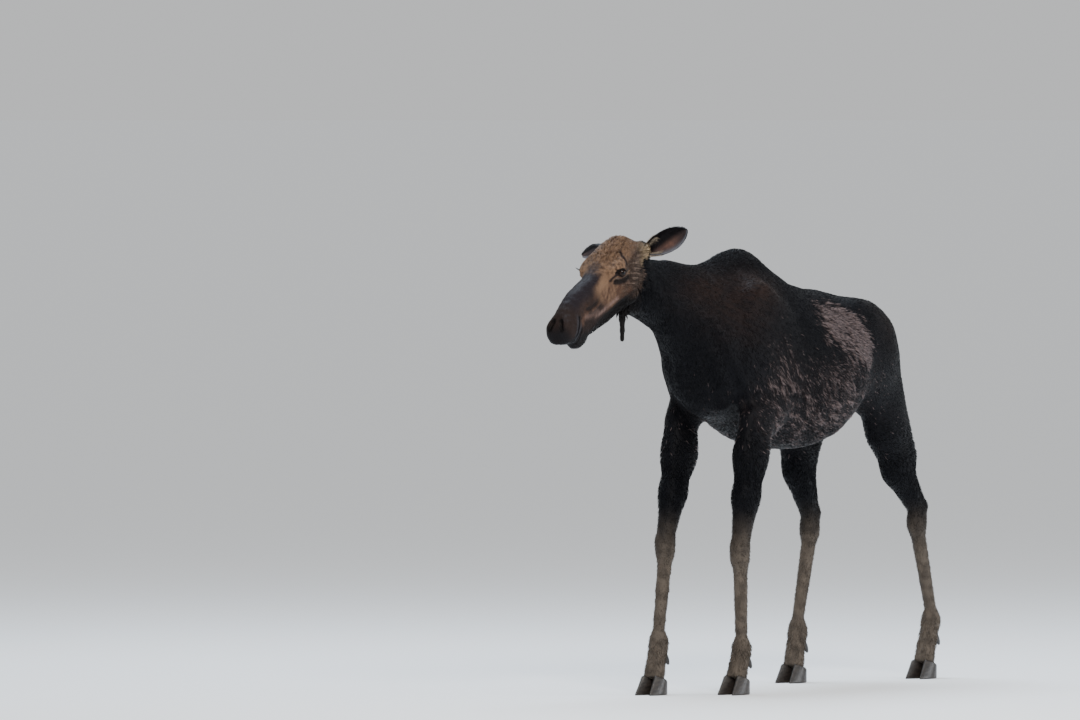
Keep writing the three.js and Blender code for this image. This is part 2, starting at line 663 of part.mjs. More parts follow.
let trunk = skinOver(bodyField, [-420, -420, 880], [1200, 420, 1850], [74, 56, 62]);
trunk = drop(trunk, NECK_CUT);
for (const [name, leg] of Object.entries(LEGS)) {
  const { side, top, stifle, knee, ankle, foot } = leg;
  const cuts = legCuts(leg);
  const space = cuts.map(({ point, normal }) => halfSpace(point, normal, -GAP / 2));
  trunk = trunk.subtract(space.reduce((a, b) => a.intersect(b)));

  const low = [Math.min(top.x, knee.x) - 260, side > 0 ? -20 : -420, knee.z + 20];
  const high = [Math.max(top.x, knee.x) + 330, side > 0 ? 420 : 20, 1420];
  let upper = skinOver(bodyField, low, high, [54, 40, 58]);
  for (const cut of cuts) upper = keep(upper, cut);
  add(`${name}_upper`, keep(upper, kneeCut(leg)), COAT);

  const above = between(stifle ?? top, knee, 0.6);
  const shank = [above, knee, between(knee, ankle, 0.5), ankle, foot, moved(foot, -10, 0, -30)];
  let lower = sleeve(bodyField, shank, 18, 10);
  lower = keep(drop(lower, kneeCut(leg)), coronetCut(leg));
  add(`${name}_lower`, lower, STOCKING);
  for (const [where, partner] of [["outer", side], ["inner", -side]]) {
    add(`${name}_claw_${where}`, drop(claw(leg, partner), coronetCut(leg)), HORN);
    add(`${name}_dewclaw_${where}`, rooted(dewclaw(leg, partner), lower, v(1, 0, 0)), HORN);
  }
}

const neckSpine = [v(-830, 75, 1690), v(-600, 30, 1620), v(-400, 4, 1530), v(-180, 0, 1420)];
add("neck", keep(drop(sleeve(bodyField, neckSpine, 11, 22), HEAD_CUT), NECK_CUT), COAT);

let head = keep(skinOver(bodyField, [-1400, -250, 1250], [-600, 350, 1900], [29, 28, 28]), HEAD_CUT);
for (const [name, side] of SIDES) {
  const place = onHead(0, side * EYE_OFFSET, EYE_LEVEL);
  const ball = (radius) => toSolid(new THREE.SphereGeometry(radius, 12, 8).translate(...place));
  head = head.subtract(ball(EYE_RADIUS + GAP));
  add(`eye_${name}`, ball(EYE_RADIUS), EYE);
}
add("head", head, FACE);
for (const [name, shape] of Object.entries(EARS)) {
  add(`ear_${name}`, rooted(ear(shape), head, shape.tip), EAR_COAT);
}
add("bell", rooted(bell(), head, v(0, 0, -1)), COAT);
add("trunk", trunk, COAT);
add("tail", rooted(tail(), trunk, v(1, 0, 0)), COAT);

const box = new THREE.Box3().setFromObject(group);
group.position.set(-(box.min.x + box.max.x) / 2, -(box.min.y + box.max.y) / 2, -box.min.z);
export default group;
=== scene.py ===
"""A cow moose (Alces alces) as a life-size still model: skin, coat, eyes, ears and hooves in Blender.

Shapes are worked out in millimetres in the animal's own frame, where it faces -X, its left side is
at -Y, the shoulder hump stands at x = 0 and the soles at z = 0. They are turned into metres and
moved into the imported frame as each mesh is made.
"""
import math

import bpy
import numpy as np
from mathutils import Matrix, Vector


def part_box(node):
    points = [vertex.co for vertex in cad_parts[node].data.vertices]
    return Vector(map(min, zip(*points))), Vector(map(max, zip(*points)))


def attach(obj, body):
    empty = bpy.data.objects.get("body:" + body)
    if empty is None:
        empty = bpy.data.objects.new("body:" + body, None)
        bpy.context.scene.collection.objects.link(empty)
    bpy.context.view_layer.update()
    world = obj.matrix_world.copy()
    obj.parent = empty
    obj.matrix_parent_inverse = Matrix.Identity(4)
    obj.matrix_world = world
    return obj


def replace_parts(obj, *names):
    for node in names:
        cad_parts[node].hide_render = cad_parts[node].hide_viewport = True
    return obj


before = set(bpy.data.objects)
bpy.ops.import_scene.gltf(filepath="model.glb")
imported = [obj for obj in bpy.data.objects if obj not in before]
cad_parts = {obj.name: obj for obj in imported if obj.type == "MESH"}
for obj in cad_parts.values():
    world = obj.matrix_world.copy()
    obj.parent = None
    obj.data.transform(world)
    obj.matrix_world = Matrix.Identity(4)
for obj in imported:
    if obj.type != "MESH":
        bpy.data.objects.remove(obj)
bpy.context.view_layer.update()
rng = np.random.default_rng(1780)

# ---- Driving dimensions in millimetres, as in the part's source ----
HUMP_HEIGHT = 1780
EYES_MIDPOINT = np.array([-922.0, 80.0, 1681.0])
HEAD_PITCH = math.radians(35)
HEAD_TURN = math.radians(4)
EYE_OFFSET = 87
EYE_LEVEL = 8
EYE_RADIUS = 19
FOREARM, FORE_CANNON = 430, 385
THIGH, GASKIN, HIND_CANNON = 411, 472, 432
EAR_LENGTH, EAR_HALF_WIDTH, EAR_THICKNESS = 240, 48, 9
CLAW_LENGTH, CLAW_WIDTH, CLAW_SPACING, CLAW_ADVANCE = 148, 56, 5, 6
CLAW_SPLAY = math.radians(5)
CORONET_HEIGHT = 58
CORONET_TILT = math.radians(24)
LEFT, RIGHT = -1, 1
SIDES = {"left": LEFT, "right": RIGHT}
LEG_NAMES = ("foreleg_left", "foreleg_right", "hindleg_left", "hindleg_right")


# ---- Frames ----
def turn_about(axis, angle):
    """The turn by an angle about the z or the y axis, as a matrix."""
    c, s = math.cos(angle), math.sin(angle)
    if axis == "z":
        return np.array([[c, -s, 0], [s, c, 0], [0, 0, 1]])
    return np.array([[c, 0, s], [0, 1, 0], [-s, 0, c]])


# The head's frame lies midway between the eyes: its nose is at -x, its right at +y, its crown at +z.
HEAD_TURNED = turn_about("z", -HEAD_TURN) @ turn_about("y", -HEAD_PITCH)


def on_head(p):
    """From the head's frame to the animal's."""
    return EYES_MIDPOINT + np.asarray(p, float) @ HEAD_TURNED.T


def to_head(p):
    """From the animal's frame to the head's."""
    return (p - EYES_MIDPOINT) @ HEAD_TURNED


def middle_of(node):
    low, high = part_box(node)
    return (np.array(low) + np.array(high)) / 2


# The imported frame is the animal's frame in metres, moved so that its box stands on the origin.
MOVED = middle_of("eye_left") - on_head([0, LEFT * EYE_OFFSET, EYE_LEVEL]) / 1000


def metres(p):
    return np.asarray(p) / 1000 + MOVED


# ---- Small helpers ----
def unit(v):
    return v / np.maximum(np.linalg.norm(v, axis=-1, keepdims=True), 1e-9)


def ramp(x, start, end):
    """0 before start, 1 after end, and smooth between them. The start may be the higher one."""
    t = np.clip((x - start) / (end - start), 0, 1)
    return t * t * (3 - 2 * t)


def spot(p, centre, radii):
    """1 at the centre, fading to 0 a little outside an ellipsoid with these radii."""
    q = (p - np.asarray(centre, float)) / np.asarray(radii, float)
    return np.exp(-(q * q).sum(-1))


def spots(p, *entries):
    """A sum of spots, each given by its strength, centre and radii."""
    return sum(strength * spot(p, centre, radii) for strength, centre, radii in entries)


def ripple(p, length, seed):
    """Smooth noise from -1 to 1 with features of about this length."""
    waves = np.random.default_rng(seed)
    total = np.zeros(len(p))
    for _ in range(9):
        direction = unit(waves.normal(size=3)) * (2 * math.pi / length) * waves.uniform(0.6, 1.7)
        total += np.sin(p @ direction + waves.uniform(0, 2 * math.pi))
    return np.clip(total / 3.2, -1, 1)


def path_distance(p, path):
    """How far each point is from a line of straight stretches, and how far along it, from 0 to 1."""
    path = np.asarray(path, float)
    best = np.full(len(p), 1e9)
    along = np.zeros(len(p))
    for i, (a, b) in enumerate(zip(path, path[1:])):
        t = np.clip(((p - a) @ (b - a)) / ((b - a) @ (b - a)), 0, 1)
        d = np.linalg.norm(p - a - t[:, None] * (b - a), axis=1)
        nearer = d < best
        best = np.where(nearer, d, best)
        along = np.where(nearer, (i + t) / (len(path) - 1), along)
    return best, along


# ---- Volumes: each is a function from points to their rough distance outside the surface ----
FAR = 1e3
REACH = 130  # how far from a volume's own box its distance is still worked out


def boxed(volume, low, high):
    """Notes the box that holds a volume, so that points far from it can be passed over."""
    volume.low, volume.high = np.asarray(low, float) - REACH, np.asarray(high, float) + REACH
    return volume


def smooth_join(a, b, width):
    h = np.maximum(width - np.abs(a - b), 0) / width
    return np.minimum(a, b) - h * h * width / 4


def smooth_carve(a, b, width):
    return -smooth_join(-a, b, width)


def egg(centre, radii, tilt=0):
    """An ellipsoid with its radii along the axes, tilted by degrees about y."""
    back = turn_about("y", math.radians(tilt))
    centre, radii = np.asarray(centre, float), np.asarray(radii, float)

    def volume(p):
        q = ((p - centre) @ back) / radii
        near = np.linalg.norm(q, axis=1)
        slope = np.linalg.norm(q / radii, axis=1)
        return np.where(near < 1e-6, -radii.min(), near * (near - 1) / np.maximum(slope, 1e-9))

    return boxed(volume, centre - radii.max(), centre + radii.max())


def limb(a, b, radius_a, radius_b, across=1):
    """A tapering limb from a to b, its section scaled across the body."""
    a, b = np.asarray(a, float), np.asarray(b, float)

    def volume(p):
        t = np.clip(((p - a) @ (b - a)) / ((b - a) @ (b - a)), 0, 1)
        q = p - a - t[:, None] * (b - a)
        q[:, 1] /= across
        return np.linalg.norm(q, axis=1) - (radius_a + (radius_b - radius_a) * t)

    widest = max(radius_a, radius_b)
    return boxed(volume, np.minimum(a, b) - widest, np.maximum(a, b) + widest)


def profile(stations):
    """A smooth curve through given stations (position, value)."""
    s = np.asarray(stations, float)
    before, after = np.vstack([s[:1], s[:-1]]), np.vstack([s[1:], s[-1:]])
    slope = (after[:, 1] - before[:, 1]) / (after[:, 0] - before[:, 0])

    def value(x):
        x = np.clip(x, s[0, 0], s[-1, 0])
        i = np.clip(np.searchsorted(s[:, 0], x, "right") - 1, 0, len(s) - 2)
        width = s[i + 1, 0] - s[i, 0]
        t = (x - s[i, 0]) / width
        rise = t * t * (3 - 2 * t)
        leave = t * (1 - t) ** 2 * width * slope[i]
        arrive = t * t * (t - 1) * width * slope[i + 1]
        return s[i, 1] + (s[i + 1, 1] - s[i, 1]) * rise + leave + arrive

    return value


def hull(start, end, ends, top, bottom, breadth, middle, waist, crown, keel):
    """A body drawn like a ship's lines, as in the part's source."""
    lines = [profile(s) for s in (top, bottom, breadth, middle, waist, crown, keel)]

    def closing(distance, length):
        inner = np.maximum(1 - (1 - distance / length) ** 2, 1e-4)
        return np.where(distance >= length, 1, np.sqrt(inner))

    def volume(p):
        x = np.clip(p[:, 0], start + 1, end - 1)
        high, low, half, centre, share, full, fine = (line(x) for line in lines)
        shrink = closing(x - start, ends[0]) * closing(end - x, ends[1])
        level = low + (high - low) * share
        upper = p[:, 2] > level
        tall = shrink * np.where(upper, high - level, level - low)
        wide = shrink * half
        power = np.where(upper, full, fine)
        a, b = np.abs(p[:, 1] - centre) / wide, np.abs(p[:, 2] - level) / tall
        size = np.maximum((a**power + b**power) ** (1 / power), 1e-6)
        steep = np.hypot((a / size) ** (power - 1) / wide, (b / size) ** (power - 1) / tall)
        outside = (size - 1) / np.maximum(steep, 1e-9)
        beyond = np.abs(p[:, 0] - x)
        return np.where(beyond > 0, np.hypot(np.maximum(outside, 0), beyond), outside)

    def extreme(pick, *stations):
        return pick([value for line in stations for _, value in line])

    widest = extreme(max, breadth) + extreme(max, middle)
    low = [start, -widest, extreme(min, bottom)]
    return boxed(volume, low, [end, widest, extreme(max, top)])


def flesh(parts):
    """Joins volumes one after another. Each entry is a volume and the width of its blend."""

    def volume(p):
        total = np.full(len(p), FAR)
        for part, width in parts:
            close = ((p > part.low) & (p < part.high)).all(axis=1)
            if close.any():
                total[close] = smooth_join(total[close], part(p[close]), width)
        return total

    return volume


def in_batches(volume, p, size=60000):
    """Values for many points, neighbours together, so that each batch needs few of the volumes."""
    return np.concatenate([volume(p[i:i + size]) for i in range(0, len(p), size)])


def slope_of(volume, p, step=0.4):
    here = in_batches(volume, p)
    ahead = [in_batches(volume, p + step * axis) for axis in np.eye(3)]
    return here, (np.stack(ahead, axis=1) - here[:, None]) / step


def settle(volume, p, rounds=3, limit=3):
    """Slides points along the volume's slope until they lie on its surface."""
    for _ in range(rounds):
        here, slope = slope_of(volume, p)
        steep = np.maximum((slope**2).sum(1), 0.08)
        p = p + slope * np.clip(-here / steep, -limit, limit)[:, None]
    return p


# ---- Trunk and neck, with the muscles that shape them ----
TRUNK_HULL = hull(
    -800, 1030, (60, 190),
    top=[
        (-800, 1720), (-640, 1745), (-520, 1738), (-400, 1724), (-310, 1722), (-215, 1738),
        (-120, 1765), (0, HUMP_HEIGHT), (90, 1766), (160, 1736), (240, 1696), (350, 1645),
        (490, 1618), (640, 1605), (760, 1587), (860, 1555), (950, 1508), (1030, 1450),
    ],
    bottom=[
        (-800, 1535), (-700, 1510), (-600, 1470), (-500, 1405), (-400, 1300), (-330, 1195),
        (-250, 1135), (-170, 1095), (-64, 1048), (60, 1002), (200, 972), (350, 958), (480, 965),
        (600, 1005), (720, 1075), (820, 1120), (930, 1150), (1030, 1180),
    ],
    breadth=[
        (-800, 90), (-640, 105), (-500, 125), (-380, 155), (-250, 190), (-100, 222), (100, 258),
        (300, 290), (450, 300), (580, 288), (700, 262), (820, 242), (930, 222), (1030, 200),
    ],
    middle=[(-800, 66), (-600, 40), (-450, 14), (-330, 0), (1030, 0)],
    waist=[(-800, 0.45), (-400, 0.4), (0, 0.36), (400, 0.42), (700, 0.5), (1030, 0.5)],
    crown=[
        (-800, 1.8), (-400, 1.7), (0, 1.45), (250, 1.6), (500, 1.8), (800, 1.75), (1030, 1.9),
    ],
    keel=[(-800, 1.9), (-300, 1.8), (200, 2.1), (600, 2.2), (1030, 2)],
)


def trunk_flesh():
    parts = [(TRUNK_HULL, 1), (egg([-225, 0, 1260], [140, 125, 150], 20), 100)]
    parts += [(egg([905, 0, 1390], [135, 120, 120], 20), 90)]
    for side in (LEFT, RIGHT):
        parts += [
            (egg([-40, side * 150, 1400], [150, 70, 240], -18), 110),
            (egg([-138, side * 138, 1300], [108, 70, 108], -20), 90),
            (egg([850, side * 115, 1340], [175, 120, 170], 20), 120),
            (egg([715, side * 160, 1465], [85, 55, 80]), 110),
        ]
    return parts


# ---- Legs ----
def joint(a, c, length_a, length_c):
    """The joint between two bones of known length that span a and c, bent towards -x."""
    span = c - a
    reach = min(np.linalg.norm(span), length_a + length_c - 1)
    along = (reach**2 + length_a**2 - length_c**2) / (2 * reach)
    out = math.sqrt(max(length_a**2 - along**2, 0))
    axis = unit(span)
    forward = unit(np.array([-axis[2], 0, axis[0]]))
    return a + axis * along + forward * (out if forward[0] <= 0 else -out)


def foreleg(side, triceps, elbow, fetlock, foot):
    flip = np.array([1, side, 1])
    top, ankle = np.array(elbow) * flip, np.array(fetlock) * flip
    knee = joint(top, ankle, FOREARM, FORE_CANNON)
    return {"side": side, "triceps": np.array(triceps) * flip, "top": top, "knee": knee,
            "ankle": ankle, "foot": np.array(foot) * flip}


def hindleg(side, hip, hock, lean, foot):
    flip = np.array([1, side, 1])
    top, knee = np.array(hip) * flip, np.array(hock) * flip
    stifle = joint(top, knee, THIGH, GASKIN)
    fall = np.array([math.sin(math.radians(lean)), 0, -math.cos(math.radians(lean))])
    return {"side": side, "top": top, "stifle": stifle, "knee": knee,
            "ankle": knee + fall * HIND_CANNON, "foot": np.array(foot) * flip}


LEGS = {
    "foreleg_left": foreleg(
        LEFT, triceps=[-35, 160, 1130], elbow=[-165, 172, 985],
        fetlock=[-195, 138, 178], foot=[-236, 138, 62],
    ),
    "foreleg_right": foreleg(
        RIGHT, triceps=[-75, 156, 1195], elbow=[-165, 168, 992],
        fetlock=[-385, 134, 205], foot=[-422, 134, 62],
    ),
    "hindleg_left": hindleg(
        LEFT, hip=[860, 120, 1420], hock=[1262, 150, 650], lean=16, foot=[1330, 145, 62],
    ),
    "hindleg_right": hindleg(
        RIGHT, hip=[860, 120, 1420], hock=[890, 145, 628], lean=-14, foot=[742, 140, 62],
    ),
}


def foreleg_flesh(leg):
    side, top, knee, ankle, foot = (leg[k] for k in ("side", "top", "knee", "ankle", "foot"))
    wrist = knee + [0, 0, 34]
    arm = top + [-4, -side * 6, -40]
    middle = arm + (wrist - arm) * 0.45
    return [
        (egg(leg["triceps"], [112, 66, 120], 25), 60),
        (limb(top + [30, 0, 90], arm, 96, 86, 0.66), 50),
        (limb(arm, middle, 86, 60, 0.74), 60),
        (limb(middle, wrist, 60, 42, 0.86), 50),
        (egg(knee + [-5, 0, 0], [44, 40, 60]), 30),
        (limb(knee + [0, 0, -30], ankle + [0, 0, 40], 34, 28, 0.92), 30),
        (egg(ankle + [5, 0, 0], [38, 36, 46]), 25),
        (limb(ankle, foot, 33, 42, 1.1), 25),
    ]


def hindleg_flesh(leg):
    side, top, stifle, knee, ankle, foot = (
        leg[k] for k in ("side", "top", "stifle", "knee", "ankle", "foot")
    )
    heel = knee + [46, 0, 56]
    calf = stifle + (knee - stifle) * 0.42
    shin = knee + [-6, 0, 44]
    return [
        (limb(top + [-10, -side * 2, -60], stifle + [36, 0, 20], 165, 104, 0.62), 100),
        (limb(top + [100, -side * 2, -120], calf + [74, 0, 50], 118, 74, 0.62), 90),
        (limb(stifle + [20, 0, 0], calf, 96, 72, 0.66), 60),
        (limb(calf, shin, 70, 38, 0.8), 50),
        (limb(calf + [60, 0, 14], heel, 46, 20, 0.7), 50),
        (limb(heel, knee, 24, 36, 0.8), 30),
        (egg(knee + [-4, 0, -5], [46, 37, 58]), 30),
        (limb(knee + [0, 0, -30], ankle + [0, 0, 40], 37, 29, 0.85), 30),
        (egg(ankle + [5, 0, 0], [40, 36, 48]), 25),
        (limb(ankle, foot, 34, 42, 1.1), 25),
    ]


def leg_flesh(leg):
    return hindleg_flesh(leg) if "stifle" in leg else foreleg_flesh(leg)


# ---- Head, in its own frame ----
HEAD_HULL = hull(
    -424, 225, (45, 70),
    top=[
        (-424, -16), (-405, 6), (-375, 34), (-335, 56), (-290, 68), (-225, 72), (-150, 66),
        (-90, 58), (-30, 63), (30, 73), (90, 72), (150, 64), (190, 52), (225, 34),
    ],
    bottom=[
        (-424, -54), (-390, -66), (-345, -88), (-290, -116), (-228, -136), (-157, -153),
        (-90, -168), (0, -174), (90, -166), (160, -148), (225, -120),
    ],
    breadth=[
        (-424, 50), (-365, 55), (-310, 54), (-240, 54), (-170, 55), (-110, 60), (-60, 70),
        (0, 82), (80, 88), (150, 80), (225, 60),
    ],
    middle=[(-424, 0), (225, 0)],
    waist=[(-424, 0.45), (-250, 0.5), (-120, 0.55), (0, 0.62), (225, 0.6)],
    crown=[(-424, 2.4), (-300, 2.3), (-150, 2.3), (0, 2.2), (225, 2.1)],
    keel=[(-424, 2.4), (-300, 2.2), (-150, 1.9), (0, 1.7), (225, 1.8)],
)


def head_flesh():
    parts = [(HEAD_HULL, 1), (egg([-303, 0, -108], [50, 34, 28], 10), 24)]
    for side in (LEFT, RIGHT):
        parts += [
            (egg([6, side * 68, 26], [58, 28, 26]), 28),
            (egg([85, side * 48, -85], [90, 38, 80]), 50),
            (egg([192, side * 66, -22], [40, 30, 36]), 30),
            (egg([-368, side * 34, -6], [40, 23, 34], -30), 24),
        ]
    return parts


head_volume = flesh(head_flesh())

# ---- The whole body, with its tail and the tassel under its throat ----
BELL = np.array([[-787, 72, 1555], [-787, 72, 1500], [-786, 72, 1455], [-787, 72, 1420]], float)
TAIL = np.array([[985, 0, 1376], [1034, 0, 1343], [1046, 0, 1298], [1046, 0, 1252]], float)


def hanging_flesh():
    return [
        (limb(BELL[0], BELL[1], 18, 13), 18),
        (limb(BELL[1], BELL[2], 13, 9.5), 8),
        (limb(BELL[2], BELL[3], 9.5, 9), 8),
        (limb(TAIL[0], TAIL[1], 28, 26), 40),
        (limb(TAIL[1], TAIL[2], 26, 20), 14),
        (limb(TAIL[2], TAIL[3], 20, 10), 14),
    ]


def body_parts():
    parts = trunk_flesh()
    for leg in LEGS.values():
        parts += leg_flesh(leg)
    head = boxed(lambda p: head_volume(to_head(p)), EYES_MIDPOINT - 460, EYES_MIDPOINT + 460)
    return parts + [(head, 70)] + hanging_flesh()


body_volume = flesh(body_parts())


def above_coronets(p):
    """How far a point is below the plane at which a foot's hair ends, or -1000 away from a foot."""
    below = np.full(len(p), -1000.0)
    for leg in LEGS.values():
        foot = leg["foot"]
        q = p - [foot[0], foot[1], CORONET_HEIGHT - 4]
        height = q[:, 0] * math.sin(CORONET_TILT) + q[:, 2] * math.cos(CORONET_TILT)
        near = (np.abs(q[:, 0]) < 130) & (np.abs(q[:, 1]) < 90) & (p[:, 2] < 200)
        below = np.where(near, -height, below)
    return below


# ---- Eyes and lids ----
EYE_OPENING = (math.radians(66), math.radians(43))  # half its length and height, from the centre
LOWER_LID_SHARE = 0.86  # the opening's height below its middle, as a share of that above it
OPENING_POWER = 1.8  # below 2, so that the corners are pointed
EYE_SLANT = math.radians(27)  # the front corner is higher in the head's frame, which points down
LID_THICKNESS = 3.2
LID_BLEND = 9
SOCKET_GAP = 1.6  # how far inside the eyeball the skin closes the opening


def eye_axes(side):
    """The eye's centre and its axes: outwards, to its front corner and up, in the head's frame."""
    out = unit(np.array([-0.52, side * 0.85, 0.08]))
    front = np.array([-math.cos(EYE_SLANT), 0, math.sin(EYE_SLANT)])
    front = unit(front - out * (front @ out))
    up = np.cross(front, out) * -side
    return np.array([0, side * EYE_OFFSET, EYE_LEVEL], float), out, front, up


def eye_angles(q, side):
    """Distance from the eye's centre, angles from its axis to its front and its top, and depth."""
    centre, out, front, up = eye_axes(side)
    d = q - centre
    depth = d @ out
    ahead = np.maximum(depth, 1e-3)
    return np.linalg.norm(d, axis=1), np.arctan2(d @ front, ahead), np.arctan2(d @ up, ahead), depth


def opening_edge(to_front, to_top):
    """0 at the eye's centre, 1 at the edges of the lids. The opening is pointed at its corners."""
    across = np.abs(to_front) / EYE_OPENING[0]
    height = np.where(to_top > 0, 1.0, LOWER_LID_SHARE) * EYE_OPENING[1]
    tall = np.abs(to_top) / height
    return (across**OPENING_POWER + tall**OPENING_POWER) ** (1 / OPENING_POWER)


def with_lids(volume, q):
    """Wraps lids round both eyeballs, open in front over a ball of skin just inside the eyeball."""
    for side in (LEFT, RIGHT):
        away, to_front, to_top, depth = eye_angles(q, side)
        lids = smooth_join(volume, away - (EYE_RADIUS + LID_THICKNESS), LID_BLEND)
        edge = (opening_edge(to_front, to_top) - 1) * EYE_RADIUS * EYE_OPENING[1]
        edge = np.where(depth > 0, edge, 50)
        opened = smooth_carve(lids, edge, 2.5)
        volume = np.minimum(opened, np.maximum(away - (EYE_RADIUS - SOCKET_GAP), -30))
    return volume


# ---- Nostrils, lips and folds, in the head's frame, drawn on the right side and mirrored ----
def on_face(*path):
    """A line drawn by a few points near the face, laid on the face."""
    return settle(head_volume, np.array(path, float), rounds=6)


NOSTRIL = on_face((-369, 18, 38), (-378, 21, 31), (-387, 25, 22), (-394, 29, 12))
MOUTH = on_face(
    (-298, 56, 2), (-312, 56, -14), (-343, 56, -34), (-372, 50, -50), (-388, 30, -64), (-391, 0, -69)
)
LOWER_LIP = on_face((-312, 54, -42), (-330, 44, -68), (-346, 24, -92))
JAW_CREASE = on_face((-205, 52, -68), (-226, 48, -84), (-248, 40, -98))
CHEEK_FOLDS = [
    on_face((-128, 58, -12), (-165, 56, -20), (-208, 55, -16), (-236, 55, -2)),
    on_face((-150, 57, -44), (-190, 55, -46), (-236, 54, -34)),
]
BROW_FURROW = on_face((72, 58, 56), (58, 74, 46), (50, 86, 32), (44, 92, 12))
TEAR_GROOVE = on_face((-20, 88, 20), (-38, 78, 15), (-58, 70, 6))
UNDER_EYE = on_face((-40, 76, -12), (-22, 82, -24), (0, 86, -32), (24, 89, -34))
LID_FOLD = on_face((-34, 80, 2), (-18, 87, -13), (4, 91, -22), (26, 93, -21), (40, 93, -8))
FACE_RELIEF = [  # a line, how far it stands above the face, and how wide it is
    *((path, -4.5, 6) for path in CHEEK_FOLDS),
    *((path + [0, 0, 13], 2.4, 8) for path in CHEEK_FOLDS),
    (JAW_CREASE, -4, 5),
    (LOWER_LIP, -2.6, 4),
    (BROW_FURROW, -3.4, 4),
    (TEAR_GROOVE, -4.4, 4.5),
    (UNDER_EYE, -3.6, 7),
    (LID_FOLD, 2.2, 4),
    (NOSTRIL + [10, 8, 6], 1.6, 9),
]
BREAST_FOLDS = [
    [(-420, -60, 1420), (-390, -80, 1330), (-345, -90, 1240), (-280, -95, 1150)],
    [(-400, -120, 1430), (-350, -150, 1330), (-290, -165, 1240), (-215, -170, 1150)],
    [(-420, 60, 1400), (-385, 85, 1310), (-330, 95, 1220)],
]
BREAST_FOLD_DEPTH, BREAST_FOLD_SWELL = 9, 5
RIB_HEIGHT, RIB_SPACING, RIB_LEAN = 1.6, 74, 0.32


def mirrored(q):
    """The same places on the right side, where y is above zero."""
    return q * [1, 0, 1] + np.abs(q[:, 1:2]) * [0, 1, 0]


def carved(volume, q):
    """Opens the nostrils, widest in their middles, and the mouth, which is finest at its corners."""
    m = mirrored(q)
    away, along = path_distance(m, NOSTRIL)
    radius = 3.2 + 5.6 * np.sin(math.pi * np.clip(along, 0, 1) ** 0.8)
    volume = smooth_carve(volume, away - radius, 8)
    away, along = path_distance(m, MOUTH)
    return smooth_carve(volume, away - (4.4 - 2.0 * (1 - along) ** 4), 5)


def relief(p):
    """How far folds, veins and muscles lift the skin, in millimetres, beyond the main volumes."""
    q = to_head(p)
    lift = np.zeros(len(p))
    near = q[:, 0] < 240
    h = mirrored(q[near])
    face = 1.1 * ripple(h, 34, 5) * ramp(h[:, 0], -60, -260)
    for path, height, width in FACE_RELIEF:
        face += height * np.exp(-((path_distance(h, path)[0] / width) ** 2))
    face += spots(h, (3.2, [-30, 80, -96], [70, 40, 34]), (-3, [-70, 60, -46], [50, 40, 22]))
    lift[near] = face

    breast = (p[:, 0] > -640) & (p[:, 0] < -120)
    for path in BREAST_FOLDS:
        away = path_distance(p[breast], path)[0]
        lift[breast] -= BREAST_FOLD_DEPTH * np.exp(-((away / 15) ** 2))
        lift[breast] += BREAST_FOLD_SWELL * np.exp(-(((away - 38) / 20) ** 2))

    ribs = ramp(p[:, 0], 60, 160) * ramp(p[:, 0], 660, 560)
    ribs *= ramp(p[:, 2], 1060, 1150) * ramp(p[:, 2], 1480, 1380)
    wave = np.sin((p[:, 0] + RIB_LEAN * p[:, 2]) * 2 * math.pi / RIB_SPACING)
    return lift + ribs * RIB_HEIGHT * wave + 1.5 * ripple(p, 210, 11) * (p[:, 2] > 700)


def skin_volume(p):
    volume = np.maximum(body_volume(p), above_coronets(p))
    q = to_head(p)
    near = q[:, 0] < 60
    near &= (np.abs(q[:, 1]) < 140) & (np.abs(q[:, 2]) < 200) & (q[:, 0] > -460)
    if near.any():
        volume[near] = carved(with_lids(volume[near], q[near]), q[near])
    return volume


# ---- From volumes to a mesh ----
CELL = 9.5  # of the grid that the skin is first laid on
BLOCK = 4  # cells along a side of the blocks that are searched first
HALVINGS = 4  # rounds in which long edges are halved where the skin has detail
SKIN_LOW, SKIN_HIGH = (-1330, -330, 20), (1440, 330, 1840)  # the box that the skin fills
NEAR_SURFACE = 75  # blocks whose middles lie farther than this from the surface are passed over


